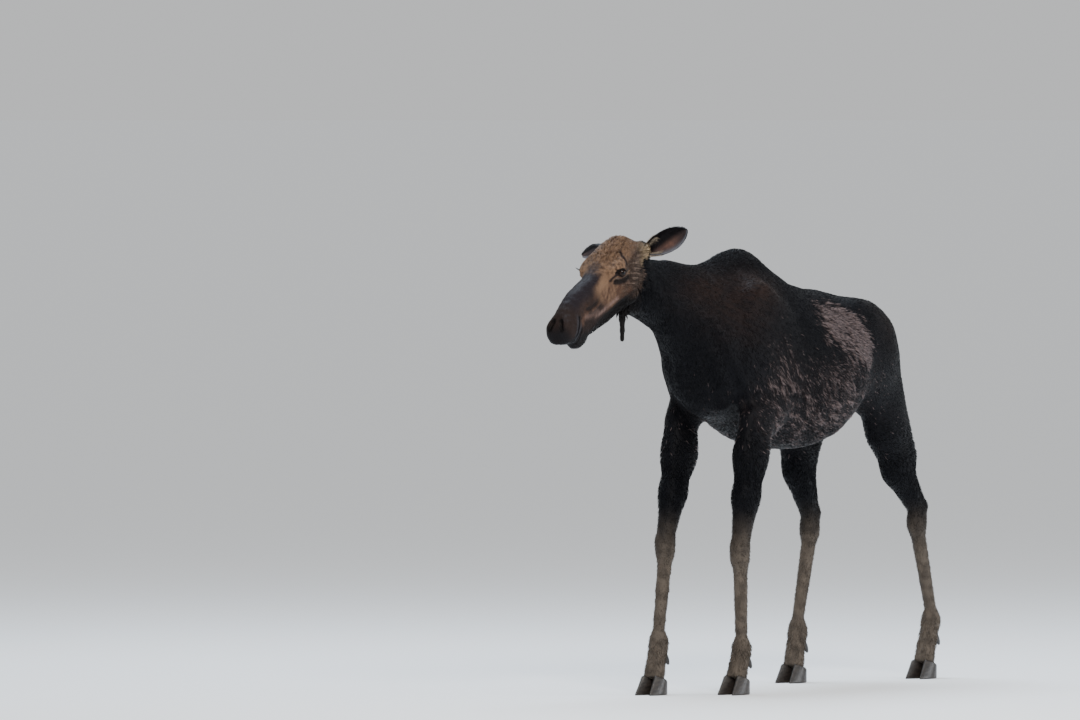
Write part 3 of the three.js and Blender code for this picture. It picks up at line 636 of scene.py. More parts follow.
def surface_nets(volume, low, high):
    """Lays a mesh of quads over a volume: a point in each cell that the surface crosses."""
    low, high = np.asarray(low, float), np.asarray(high, float)
    blocks = np.ceil((high - low) / (CELL * BLOCK)).astype(int)
    corners = np.stack(np.meshgrid(*map(np.arange, blocks), indexing="ij"), -1).reshape(-1, 3)
    middles = low + (corners + 0.5) * CELL * BLOCK
    coarse = in_batches(volume, middles)
    field = np.repeat(coarse.reshape(blocks), BLOCK, 0)
    field = np.repeat(np.repeat(field, BLOCK, 1), BLOCK, 2)
    close = corners[np.abs(coarse) < NEAR_SURFACE]
    offsets = np.stack(np.meshgrid(*[np.arange(BLOCK)] * 3, indexing="ij"), -1).reshape(-1, 3)
    nodes = (close[:, None] * BLOCK + offsets[None]).reshape(-1, 3)
    field[tuple(nodes.T)] = in_batches(volume, low + nodes * CELL)

    inside = field < 0
    size = np.array(field.shape)
    owners, places, rings = [], [], []
    for axis, side, other in ((0, 1, 2), (1, 2, 0), (2, 0, 1)):
        step = np.eye(3, dtype=int)[axis]
        here = tuple(slice(0, n - s) for n, s in zip(size, step))
        ahead = tuple(slice(s, None) for s in step)
        at = np.argwhere(inside[here] != inside[ahead])
        start, end = field[tuple(at.T)], field[tuple((at + step).T)]
        place = at + step * (start / (start - end))[:, None]
        ring = []
        for s, o in ((0, 0), (1, 0), (1, 1), (0, 1)):
            cell = at.copy()
            cell[:, side] -= s
            cell[:, other] -= o
            ring.append(np.ravel_multi_index(tuple(cell.T), size))
            owners.append(ring[-1])
            places.append(place)
        ring = np.stack(ring, 1)
        rings.append(np.where((start < 0)[:, None], ring, ring[:, ::-1]))
    owners, places = np.concatenate(owners), np.concatenate(places)
    cells, index = np.unique(owners, return_inverse=True)
    count = np.bincount(index)
    points = np.stack([np.bincount(index, places[:, k]) / count for k in range(3)], 1)
    quads = np.searchsorted(cells, np.concatenate(rings))
    return low + points * CELL, quads


def triangles(points, quads):
    """Cuts each quad along its shorter diagonal."""
    a, b, c, d = (points[quads[:, k]] for k in range(4))
    first = np.linalg.norm(a - c, axis=1) < np.linalg.norm(b - d, axis=1)
    q = np.where(first[:, None], quads, np.roll(quads, -1, axis=1))
    return np.concatenate([q[:, [0, 1, 2]], q[:, [0, 2, 3]]])


def split_long_edges(points, tris, longest):
    """Halves each edge longer than `longest` allows at its middle."""
    edges = np.sort(tris[:, [[0, 1], [1, 2], [2, 0]]].reshape(-1, 2), axis=1)
    edges, index = np.unique(edges, axis=0, return_inverse=True)
    index = index.reshape(-1, 3)
    a, b = points[edges[:, 0]], points[edges[:, 1]]
    middle = (a + b) / 2
    marked = np.linalg.norm(a - b, axis=1) > longest(middle)
    fresh = np.full(len(edges), -1)
    fresh[marked] = len(points) + np.arange(marked.sum())
    points = np.concatenate([points, middle[marked]])
    new = fresh[index]
    many = (new >= 0).sum(1)
    out = [tris[many == 0]]

    def turned(rows, shift):
        """The rows' corners and new points, turned so that the one that stands out comes first."""
        order = (np.arange(3)[None] + shift[:, None]) % 3
        return np.take_along_axis(tris[rows], order, 1), np.take_along_axis(new[rows], order, 1)

    def triangle(*corners):
        return np.stack(corners, 1)

    rows = np.flatnonzero(many == 1)
    t, n = turned(rows, np.argmax(new[rows] >= 0, axis=1))
    out += [triangle(t[:, 0], n[:, 0], t[:, 2]), triangle(n[:, 0], t[:, 1], t[:, 2])]
    rows = np.flatnonzero(many == 2)
    t, n = turned(rows, (np.argmin(new[rows], axis=1) + 1) % 3)
    out += [triangle(n[:, 0], t[:, 1], n[:, 1])]
    one = np.linalg.norm(points[t[:, 0]] - points[n[:, 1]], axis=1)
    other = np.linalg.norm(points[n[:, 0]] - points[t[:, 2]], axis=1)
    for cut, cut_otherwise in (
        (triangle(t[:, 0], n[:, 0], n[:, 1]), triangle(t[:, 0], n[:, 0], t[:, 2])),
        (triangle(t[:, 0], n[:, 1], t[:, 2]), triangle(n[:, 0], n[:, 1], t[:, 2])),
    ):
        out += [np.where((one < other)[:, None], cut, cut_otherwise)]
    t, n = tris[many == 3], new[many == 3]
    out += [triangle(t[:, k], n[:, k], n[:, k - 1]) for k in range(3)] + [n]
    return points, np.concatenate(out)


# How far the skin lies inside the solids, to leave room for the coat.
BODY_DEPTH, LEG_DEPTH, HANGING_DEPTH = 9, 3.5, 1.5
CREST_DEPTH = 14
FACE_DEPTH, NOSE_DEPTH, JAW_DEPTH, EYE_DEPTH = 1.8, 0.6, 6.8, -1.2


def coat_depth(p):
    """How far the skin lies inside the solids, from place to place."""
    q = to_head(p)
    head = ramp(q[:, 0], 250, 190) * ramp(np.abs(q[:, 1]), 190, 150) * ramp(q[:, 2], -290, -200)
    leg = ramp(p[:, 2], 900, 760)
    depth = BODY_DEPTH + (CREST_DEPTH - BODY_DEPTH) * ramp(p[:, 2], 1600, 1700) * (1 - head)
    depth = depth * (1 - leg) + LEG_DEPTH * leg
    face = FACE_DEPTH + (NOSE_DEPTH - FACE_DEPTH) * ramp(q[:, 0], -300, -360)
    face += (JAW_DEPTH - FACE_DEPTH) * ramp(q[:, 2], -90, -130)
    lids = spot(mirrored(q), [0, EYE_OFFSET, EYE_LEVEL], [34, 34, 34])
    face += (EYE_DEPTH - FACE_DEPTH) * lids
    depth = depth * (1 - head) + face * head
    hanging = np.minimum(path_distance(p, BELL)[0], path_distance(p, TAIL)[0] + 8)
    return depth + (HANGING_DEPTH - depth) * ramp(hanging, 44, 26)


# The longest edges that the skin may have.
BODY_EDGE, FACE_EDGE, BELL_EDGE = 17.0, 7.0, 5.0
FOLD_EDGE, OPENING_EDGE, LID_EDGE = 3.4, 2.6, 1.7


def finest(p):
    """The longest edge that the skin may have here: short where the face has detail."""
    m = mirrored(to_head(p))
    size = np.full(len(p), BODY_EDGE)
    face = (m[:, 0] > -460) & (m[:, 0] < 250) & (m[:, 1] < 130) & (np.abs(m[:, 2]) < 210)
    h = m[face]
    eye = np.linalg.norm(h - [0, EYE_OFFSET, EYE_LEVEL], axis=1)
    part = np.select([eye < 30, eye < 52], [LID_EDGE, FOLD_EDGE], FACE_EDGE)
    for path in (NOSTRIL, MOUTH):
        part[path_distance(h, path)[0] < 17] = OPENING_EDGE
    for path in (BROW_FURROW, TEAR_GROOVE, UNDER_EYE, LOWER_LIP, JAW_CREASE):
        part = np.where(path_distance(h, path)[0] < 10, np.minimum(part, FOLD_EDGE), part)
    size[face] = part
    hanging = (np.abs(p - BELL[1:].mean(0)) < [30, 30, 75]).all(axis=1)
    return np.where(hanging, BELL_EDGE, size)


def skin_surface(p):
    """Rough distance outside the skin, under the coat and with its folds."""
    return skin_volume(p) + coat_depth(p) - relief(p)


def rough_skin(p):
    return np.maximum(body_volume(p), above_coronets(p)) + np.minimum(coat_depth(p), 5)


def make_skin():
    """Lays a rough skin over the body, slides it onto the true one and refines it there."""
    points, quads = surface_nets(rough_skin, SKIN_LOW, SKIN_HIGH)
    points = settle(skin_surface, points, rounds=4)
    tris = triangles(points, quads)
    for _ in range(HALVINGS):
        before = len(points)
        points, tris = split_long_edges(points, tris, finest)
        points[before:] = settle(skin_surface, points[before:], rounds=2, limit=1)
    return points, tris


skin_points, skin_tris = make_skin()


# ---- Markings: the coat's colour, worked out for the skin and for each tuft alike ----
BLACK = (0.0030, 0.0032, 0.0046)
REDDISH = (0.019, 0.0105, 0.0085)
GREY_BROWN = (0.075, 0.055, 0.053)
TAN = (0.185, 0.112, 0.069)
DARK_TAN = (0.052, 0.029, 0.019)
BRIDGE = (0.014, 0.0105, 0.0130)
MUZZLE = (0.018, 0.0115, 0.0100)
NOSE = (0.008, 0.0070, 0.0080)
CHEEK = (0.032, 0.022, 0.018)
CHEEK_STREAK = (0.17, 0.125, 0.10)
JAW_STRIPE = (0.20, 0.130, 0.110)
PALE_TUFT = (0.20, 0.150, 0.145)
STOCKING = (0.105, 0.085, 0.068)
# Black bare skin, with painted shade in the mouth's and the nostrils' openings.
BLACK_SKIN_AND_OPENING_SHADE = (0.003, 0.002, 0.002)
PATCH = (0.085, 0.046, 0.031)
BROW_SIDE = (0.085, 0.046, 0.030)
BELOW_EYE = (0.062, 0.033, 0.022)
# Painted shade for the cheek folds.
FOLD_PAINTED_SHADE = (0.008, 0.006, 0.006)
UNDER_JAW = (0.007, 0.006, 0.006)
# Painted shade for the lower lip's crease.
LIP_CREASE_PAINTED_SHADE = (0.004, 0.003, 0.003)
# Painted blue-grey highlight of the wet lip.
LIP_PAINTED_HIGHLIGHT = (0.04, 0.042, 0.052)
EYE_RIM = (0.005, 0.004, 0.004)
LOWER_LID = (0.075, 0.062, 0.058)
LID_BORDER = (0.24, 0.155, 0.095)
# Dark hair under the lower lid, with painted shadow of the lid's fold.
CRESCENT_AND_PAINTED_SHADOW = (0.007, 0.005, 0.005)
# Painted shade for the tear groove and the brow furrow.
FURROW_PAINTED_SHADE = (0.014, 0.009, 0.009)
EAR_ROOT = (0.46, 0.35, 0.22)

HAIR_FALL = unit(np.array([0.62, 0, -0.78]))  # on the flank
STREAKED = np.eye(3) - 0.78 * np.outer(HAIR_FALL, HAIR_FALL)  # draws noise out along it
HIP_PATCH = (  # strength, centre and radii of each spot
    (1.5, [465, 300, 1462], [165, 400, 92]),
    (1.2, [560, 300, 1370], [110, 400, 84]),
)
FLANK_AND_BELLY = (
    (0.95, [-15, 260, 1275], [110, 400, 110]),
    (0.5, [420, 270, 1240], [300, 400, 90]),
    (0.9, [330, 200, 1110], [380, 400, 130]),
    (0.7, [-60, 190, 1110], [110, 75, 120]),
)


def mix(colour, other, share):
    return colour + (np.asarray(other) - colour) * np.clip(share, 0, 1)[:, None]


def with_line(colour, m, path, tint, share, none, full):
    """Colours a line, in full up to `full` from its path and not at all beyond `none`."""
    return mix(colour, tint, share * ramp(path_distance(m, path)[0], none, full))


def with_soft_line(colour, m, path, tint, share, width):
    return mix(colour, tint, share * np.exp(-((path_distance(m, path)[0] / width) ** 2)))


def moulting(p):
    """Where the old winter coat comes away in ragged pale tufts: on the hip, flank and belly."""
    m = mirrored(p)
    streaks = m @ STREAKED
    torn = 0.5 + 0.4 * ripple(streaks, 60, 31) + 0.5 * ripple(streaks, 20, 32)
    ragged = spots(m, *HIP_PATCH) * (0.25 + 1.0 * torn)
    streaky = spots(m, *FLANK_AND_BELLY) * (0.16 + 0.6 * np.clip(torn, 0, 1.3) ** 2)
    return np.clip(ramp(ragged, 0.2, 0.95) + streaky, 0, 1)


def body_colour(p):
    """Black all over, reddish under the hump, and grey-brown where the old coat moults."""
    brown = spots(
        mirrored(p),
        (0.8, [-400, 110, 1620], [190, 120, 90]),
        (1.0, [-60, 170, 1630], [150, 120, 80]),
        (0.5, [-250, 190, 1500], [180, 200, 110]),
        (0.6, [860, 150, 1440], [110, 120, 100]),
    )
    colour = np.tile(BLACK, (len(p), 1))
    colour = mix(colour, REDDISH, brown * (0.75 + 0.25 * ripple(p, 40, 21)))
    return mix(colour, GREY_BROWN, 0.4 * moulting(p))


def muzzle_and_forehead(m, mottle):
    """Tan, mottled on the forehead, with a dark muzzle and a bridge that runs up between the eyes."""
    x, y, z = m.T
    colour = np.tile(TAN, (len(m), 1))
    mottled = 0.34 + 0.6 * mottle + 0.5 * ripple(m, 11, 42)
    colour = mix(colour, DARK_TAN, mottled * ramp(z, 6, 44))
    colour = mix(colour, MUZZLE, ramp(x + 0.35 * z, -105, -165))
    upper_patch = 0.75 * spot(m, [-236, 50, 22], [44, 30, 20])
    colour = mix(colour, DARK_TAN, upper_patch * (0.8 + 0.3 * mottle))
    patches = spots(
        m,
        (1.0, [-190, 54, -34], [40, 30, 16]),
        (0.8, [-262, 52, -14], [26, 30, 14]),
        (0.8, [-296, 54, -26], [16, 30, 12]),
        (0.7, [-150, 56, 0], [24, 30, 12]),
    )
    colour = mix(colour, PATCH, 0.9 * patches * (0.75 + 0.45 * mottle))
    # Painted shade in the cheek folds.
    for path in CHEEK_FOLDS:
        colour = with_line(colour, m, path, FOLD_PAINTED_SHADE, 0.85, 11, 4)
    nose = ramp(x, -30, -95) * ramp(y, 56, 36) * ramp(z, -6, 26)
    between_eyes = ramp(x, 20, -50) * ramp(y, 32, 16) * ramp(z, 20, 40) * 0.7
    colour = mix(colour, BRIDGE, np.maximum(nose, between_eyes) * ramp(x, -330, -270))
    band = spots(m, (1, [-84, 62, 8], [40, 40, 50]), (1, [-108, 58, -22], [32, 40, 22]))
    return mix(colour, TAN, 0.8 * band * (1 - ramp(y, 50, 36)))


def with_cheeks(colour, m, mottle):
    """Dark cheeks with pale hairs behind the eye, and two pale stripes along the jaw."""
    x, z = m[:, 0], m[:, 2]
    side = 0.7 * ramp(z, 40, 0) * ramp(x, -100, -20)
    colour = mix(colour, BROW_SIDE, side * (0.8 + 0.5 * mottle))
    cheek = ramp(x, 12, 44) * ramp(z, 34, 0) + ramp(x, -40, 0) * ramp(z, -24, -46)
    cheek = np.clip(cheek + ramp(z, -56, -84) * ramp(x, -100, -30), 0, 1)
    hairs = np.clip(ripple(m @ turn_about("y", 0.75) * [0.22, 1, 1], 9, 43) - 0.15, 0, 1)
    colour = mix(colour, CHEEK, cheek * 0.92)
    colour = mix(colour, CHEEK_STREAK, cheek * hairs * ramp(z, -110, -60))
    below = ramp(z, 22, -22) * ramp(x, -150, -110) * ramp(x, 40, 0)
    colour = mix(colour, BELOW_EYE, 0.85 * below * (0.8 + 0.45 * mottle))
    long_stripe = [(-205, 56, -62), (-150, 54, -73), (-56, 66, -80)]
    colour = with_soft_line(colour, m, long_stripe, JAW_STRIPE, 0.6 + 0.3 * mottle, 9)
    short_stripe = [(-262, 50, -22), (-225, 54, -40), (-180, 56, -48)]
    return with_soft_line(colour, m, short_stripe, JAW_STRIPE, 0.4, 9)


def with_mouth_and_nose(colour, m):
    """Black under the jaw, black skin and painted shade in mouth, nostrils and lip crease, a painted
    lip highlight, a dark nose tip.
    """
    x, z = m[:, 0], m[:, 2]
    under = ramp(z, -82, -104) * ramp(x, 60, -20) + ramp(z, -112, -142)
    under += ramp(x, -262, -298) * ramp(z, -58, -82)
    colour = mix(colour, UNDER_JAW, under)
    tip = np.maximum(ramp(x, -378, -412), ramp(x, -300, -360) * ramp(z, -20, -46))
    colour = mix(colour, NOSE, tip)
    # Black skin, with painted shade in the mouth's opening.
    colour = with_line(colour, m, MOUTH, BLACK_SKIN_AND_OPENING_SHADE, 1, 11, 5)
    # Painted shade in the lower lip's crease.
    colour = with_line(colour, m, LOWER_LIP, LIP_CREASE_PAINTED_SHADE, 1, 9, 4)
    # A painted blue-grey highlight along the wet lip, a little off the mouth's line.
    lip_highlight = np.exp(-(((path_distance(m, MOUTH)[0] - 13) / 6) ** 2))
    colour = mix(colour, LIP_PAINTED_HIGHLIGHT, 0.5 * lip_highlight * ramp(x, -290, -315) * (x > -372))
    # Black skin, with painted shade in the nostrils.
    return with_line(colour, m, NOSTRIL, BLACK_SKIN_AND_OPENING_SHADE, 1, 14, 6)


def with_eye_surround(colour, m):
    """Black rims, a grey lower lid with a tan border, a dark crescent with painted lid shadow, painted
    shade in the furrows.
    """
    near, to_front, to_top, depth = eye_angles(m, RIGHT)
    rim = np.where(depth > 0, opening_edge(to_front, to_top), 9)
    colour = mix(colour, EYE_RIM, ramp(rim, 1.6, 1.3) * (near < 36))
    colour = with_soft_line(colour, m, LID_FOLD, LOWER_LID, 0.9, 3.5)
    colour = with_soft_line(colour, m, LID_FOLD + [1, -1, -7], LID_BORDER, 0.85, 3.4)
    # Dark hair under the lower lid, with painted shadow of the lid's fold over it.
    colour = with_line(colour, m, UNDER_EYE, CRESCENT_AND_PAINTED_SHADOW, 0.95, 17, 7)
    # Painted shade in the tear groove and the brow furrow.
    for path in (TEAR_GROOVE, BROW_FURROW):
        colour = with_line(colour, m, path, FURROW_PAINTED_SHADE, 0.97, 12, 4)
    return colour


def head_colour(q):
    m = mirrored(q)
    mottle = ripple(m, 26, 41)
    colour = with_cheeks(muzzle_and_forehead(m, mottle), m, mottle)
    colour = with_eye_surround(with_mouth_and_nose(colour, m), m)
    pale = spots(m, (1, [182, 84, -22], [26, 26, 26]), (1, [150, 88, -44], [26, 20, 14]))
    return mix(colour, EAR_ROOT, 0.75 * pale)


def coat_colour(p):
    """The colour of skin and hair anywhere on the body."""
    colour = body_colour(p)
    q = to_head(p)
    reach = np.linalg.norm((q - [-100, 0, -30]) / [1, 1, 1.2], axis=1) < 420
    if reach.any():
        h = q[reach]
        # The tan face ends at a ragged line behind the ears and the jaw.
        ragged = h[:, 0] - 16 * ripple(h, 40, 51) - 8 * ripple(h, 13, 52)
        line = 196 - 92 * ramp(h[:, 2], -10, -70) - 40 * ramp(h[:, 2], -90, -150)
        colour[reach] = mix(colour[reach], head_colour(h), ramp(ragged, line + 12, line - 12))
    leg = ramp(p[:, 2], 760, 480) * (p[:, 2] < 800)
    return mix(colour, STOCKING, leg * (0.8 + 0.2 * ripple(p, 60, 61)))


# ---- Materials ----
def material(name, roughness, gloss=0.3, bump=0.0, grain=200.0, variation=0.25):
    """A surface coloured by its own points' colours, broken up by noise, with a little bump."""
    made = bpy.data.materials.new(name)
    made.use_nodes = True
    nodes, links = made.node_tree.nodes, made.node_tree.links
    shader = nodes["Principled BSDF"]
    shader.inputs["Roughness"].default_value = roughness
    shader.inputs["Specular IOR Level"].default_value = gloss
    colour = nodes.new("ShaderNodeAttribute")
    colour.attribute_name = "shade"
    place = nodes.new("ShaderNodeTexCoord")
    noise = nodes.new("ShaderNodeTexNoise")
    noise.inputs["Scale"].default_value = grain
    noise.inputs["Detail"].default_value = 5
    links.new(place.outputs["Object"], noise.inputs["Vector"])
    spread = nodes.new("ShaderNodeMapRange")
    spread.inputs["To Min"].default_value = 1 - variation
    spread.inputs["To Max"].default_value = 1 + variation
    links.new(noise.outputs["Fac"], spread.inputs["Value"])
    tinted = nodes.new("ShaderNodeVectorMath")
    tinted.operation = "SCALE"
    links.new(colour.outputs["Color"], tinted.inputs[0])
    links.new(spread.outputs["Result"], tinted.inputs["Scale"])
    links.new(tinted.outputs["Vector"], shader.inputs["Base Color"])
    if bump:
        raised = nodes.new("ShaderNodeBump")
        raised.inputs["Strength"].default_value = 1
        raised.inputs["Distance"].default_value = bump
        links.new(noise.outputs["Fac"], raised.inputs["Height"])
        links.new(raised.outputs["Normal"], shader.inputs["Normal"])
    return made


SKIN = material("moose_skin", 0.5, gloss=0.06, bump=0.0012, grain=420, variation=0.35)
FUR = material("moose_coat", 0.4, gloss=0.1, variation=0.2)
EAR_SKIN = material("moose_ear", 0.55, gloss=0.15, bump=0.0006, grain=500, variation=0.3)
WET = material("moose_eye", 0.04, gloss=0.14, variation=0.1)
HORN = material("hoof_horn", 0.4, gloss=0.5, bump=0.001, grain=160, variation=0.4)
LASH = material("eyelash", 0.45, variation=0.1)


# ---- Pieces ----
def piece(name, points, faces, colours, finish, slot, uv=None):
    """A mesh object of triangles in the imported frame, riding on the body."""
    mesh = bpy.data.meshes.new(name)
    points, faces = metres(points), np.asarray(faces)
    corners = faces.shape[1]
    mesh.vertices.add(len(points))
    mesh.vertices.foreach_set("co", points.astype(np.float32).ravel())
    mesh.loops.add(faces.size)
    mesh.loops.foreach_set("vertex_index", faces.astype(np.int32).ravel())
    mesh.polygons.add(len(faces))
    mesh.polygons.foreach_set("loop_start", np.arange(0, faces.size, corners, dtype=np.int32))
    mesh.polygons.foreach_set("use_smooth", np.full(len(faces), True))
    shade = mesh.color_attributes.new("shade", "FLOAT_COLOR", "POINT")
    rgba = np.concatenate([np.clip(colours, 0, 1), np.ones((len(points), 1))], 1)
    shade.data.foreach_set("color", rgba.astype(np.float32).ravel())
    if uv is not None:
        layer = mesh.uv_layers.new(name="OFBake")
        layer.data.foreach_set("uv", uv[faces.ravel()].astype(np.float32).ravel())
    mesh.update(calc_edges=True)
    mesh.validate()
    made = bpy.data.objects.new(name, mesh)
    bpy.context.collection.objects.link(made)
    mesh.materials.append(finish)
    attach(made, "root")
    return made


def normals_and_areas(points, tris):
    """A normal for each point, and an area for each triangle."""
    a, b, c = (points[tris[:, k]] for k in range(3))
    face = np.cross(b - a, c - a)
    total = np.zeros_like(points)
    for k in range(3):
        np.add.at(total, tris[:, k], face)
    return unit(total), np.linalg.norm(face, axis=1) / 2


def closed_loft(rings, ends=None):
    """Rings of points joined into one closed body of triangles that face outwards."""
    rings = np.asarray(rings)
    rows, columns = rings.shape[:2]
    if ends is None:
        ends = [rings[0].mean(0), rings[-1].mean(0)]
    k = np.arange(columns)
    n = (k + 1) % columns
    tris = []
    for base in np.arange(rows - 1) * columns:
        here, ahead = base + k, base + columns + k
        here_next, ahead_next = base + n, base + columns + n
        tris += [np.stack([here, here_next, ahead_next], 1), np.stack([here, ahead_next, ahead], 1)]
    first, last = np.full(columns, rows * columns), np.full(columns, rows * columns + 1)
    base = (rows - 1) * columns
    tris = np.concatenate(tris + [np.stack([first, n, k], 1), np.stack([last, base + k, base + n], 1)])
    points = np.vstack([rings.reshape(-1, 3), ends])
    a, b, c = (points[tris[:, k]] for k in range(3))
    return points, tris if (a * np.cross(b, c)).sum() > 0 else tris[:, ::-1]


def joined(bodies):
    """Several (points, triangles, colours) as one."""
    points, tris, colours, start = [], [], [], 0
    for p, t, c in bodies:
        points.append(p)
        tris.append(t + start)
        colours.append(c)
        start += len(p)
    return np.concatenate(points), np.concatenate(tris), np.concatenate(colours)


# ---- Skin ----
skin_normals, skin_areas = normals_and_areas(skin_points, skin_tris)
# The skin's colour is darkened by 0.85: painted shade under the coat, to match the tufts' shaded
# roots.
skin = piece("skin", skin_points, skin_tris, 0.85 * coat_colour(skin_points), SKIN, "body_coat")
FLESH = ["trunk", "neck", "head", "bell", "tail"]
FLESH += [f"{leg}_{part}" for leg in LEG_NAMES for part in ("upper", "lower")]
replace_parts(skin, *FLESH)


# ---- Eyes ----
EYE_BULGE = 1.2
EYEBALL = (0.008, 0.005, 0.004)
IRIS = (0.016, 0.0065, 0.0035)
PUPIL = (0.001, 0.001, 0.0015)
PUPIL_SIZE = (0.44, 0.27)  # sines of the angles from the eye's axis to its end and its top
LASH_COLOUR = (0.006, 0.005, 0.005)


def eyeball(side, rings=38, around=64):
    """A wet ball with a dark brown iris and a level, oblong pupil, bulging a little in front."""
    centre, out, front, up = eye_axes(side)
    angle = np.linspace(0, math.pi, rings + 2)[1:-1]
    turn = np.linspace(0, 2 * math.pi, around, endpoint=False)
    a, t = (grid.ravel() for grid in np.meshgrid(angle, turn, indexing="ij"))
    level, tall = np.sin(a) * np.cos(t), np.sin(a) * np.sin(t)
    radius = EYE_RADIUS - 0.5 + EYE_BULGE * np.exp(-((a / 0.5) ** 2))
    ways = np.cos(a)[:, None] * out + level[:, None] * front + tall[:, None] * up
    rows = (centre + ways * radius[:, None]).reshape(rings, around, 3)
    ends = [centre + out * (EYE_RADIUS - 0.5 + EYE_BULGE), centre - out * (EYE_RADIUS - 0.5)]
    points, tris = closed_loft(rows, ends)
    a, t, level, tall = (
        np.append(values, at_ends)
        for values, at_ends in ((a, [0, math.pi]), (t, [0, 0]), (level, [0, 0]), (tall, [0, 0]))
    )
    colours = np.tile(EYEBALL, (len(points), 1))
    colours = mix(colours, IRIS, ramp(a, 0.80, 0.74) * (0.7 + 0.3 * np.sin(t * 23)))
    beyond = np.hypot(level / PUPIL_SIZE[0], tall / PUPIL_SIZE[1]) + 9 * (a > 1.6)
    return on_head(points), tris, mix(colours, PUPIL, ramp(beyond, 1.06, 0.94))


def lashes(side, count=34):
    """Long lashes along the upper lid, swept outwards and up."""
    centre, out, front, up = eye_axes(side)
    bodies = []
    for s in np.linspace(-0.82, 0.72, count):
        to_front = s * EYE_OPENING[0]
        rise = (1 - abs(s) ** OPENING_POWER) ** (1 / OPENING_POWER)
        to_top = EYE_OPENING[1] * rise + 0.05
        way = unit(out + front * math.tan(to_front) + up * math.tan(to_top))
        root = centre + way * (EYE_RADIUS + 2.2)
        length = rng.uniform(15, 21) * (1 - 0.45 * abs(s))
        astray = rng.normal(scale=0.09, size=3)
        sweep = unit(out * 0.9 + front * (0.9 * s) + up * 0.15 + astray)
        rings = []
        for t in np.linspace(0, 1, 6):
            middle = root + sweep * length * t + (up * 0.45 - front * 0.1) * length * t * t
            width = 0.55 * (1 - 0.85 * t)
            turns = (0, 2 * math.pi / 3, 4 * math.pi / 3)
            rings.append([middle + width * (math.cos(a) * front + math.sin(a) * up) for a in turns])
        points, tris = closed_loft(rings)
        bodies.append((on_head(points), tris, np.tile(LASH_COLOUR, (len(points), 1))))
    return joined(bodies)


for name, side in SIDES.items():
    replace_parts(piece(f"eyeball_{name}", *eyeball(side), WET, "eye"), f"eye_{name}")

for name, side in SIDES.items():
    piece(f"eyelashes_{name}", *lashes(side), LASH, "face_hair")


# ---- Ears ----
# Each ear's root in the head's frame, the way to its tip, the way that it faces, and a margin.
EARS = {
    "left": ([205, -66, -43], [-0.05, -0.215, 0.088], [-1, 0, 0], 3),
    "right": ([205, 68, -74], [0.085, 0.215, 0.004], [-1, 0, -0.55], -3),
}
ear_half_width = profile(
    [(0, 0.4), (0.15, 0.62), (0.3, 0.86), (0.5, 1), (0.68, 0.9), (0.84, 0.6), (0.95, 0.3), (1, 0.1)]
)
ear_wrap = profile([(0, 135), (0.25, 100), (0.6, 72), (1, 50)])
ear_thickness = profile([(0, 1.25), (0.4, 0.8), (1, 0.45)])


EAR_BACK = (0.020, 0.019, 0.022)
EAR_BACK_ROOT = (0.105, 0.075, 0.052)
EAR_INSIDE = (0.050, 0.036, 0.036)
EAR_MIDDLE = (0.15, 0.080, 0.062)
EAR_UPPER = (0.004, 0.003, 0.004)
# Pale hair of the ear's lower inner edge, painted blue-grey with the sky's light on it.
EAR_LOWER_EDGE_PAINTED_LIGHT = (0.15, 0.155, 0.18)
# Painted shade deep in the ear's tube.
EAR_HOLLOW_PAINTED_SHADE = (0.006, 0.005, 0.005)
EAR_FUZZ = (0.36, 0.30, 0.23)


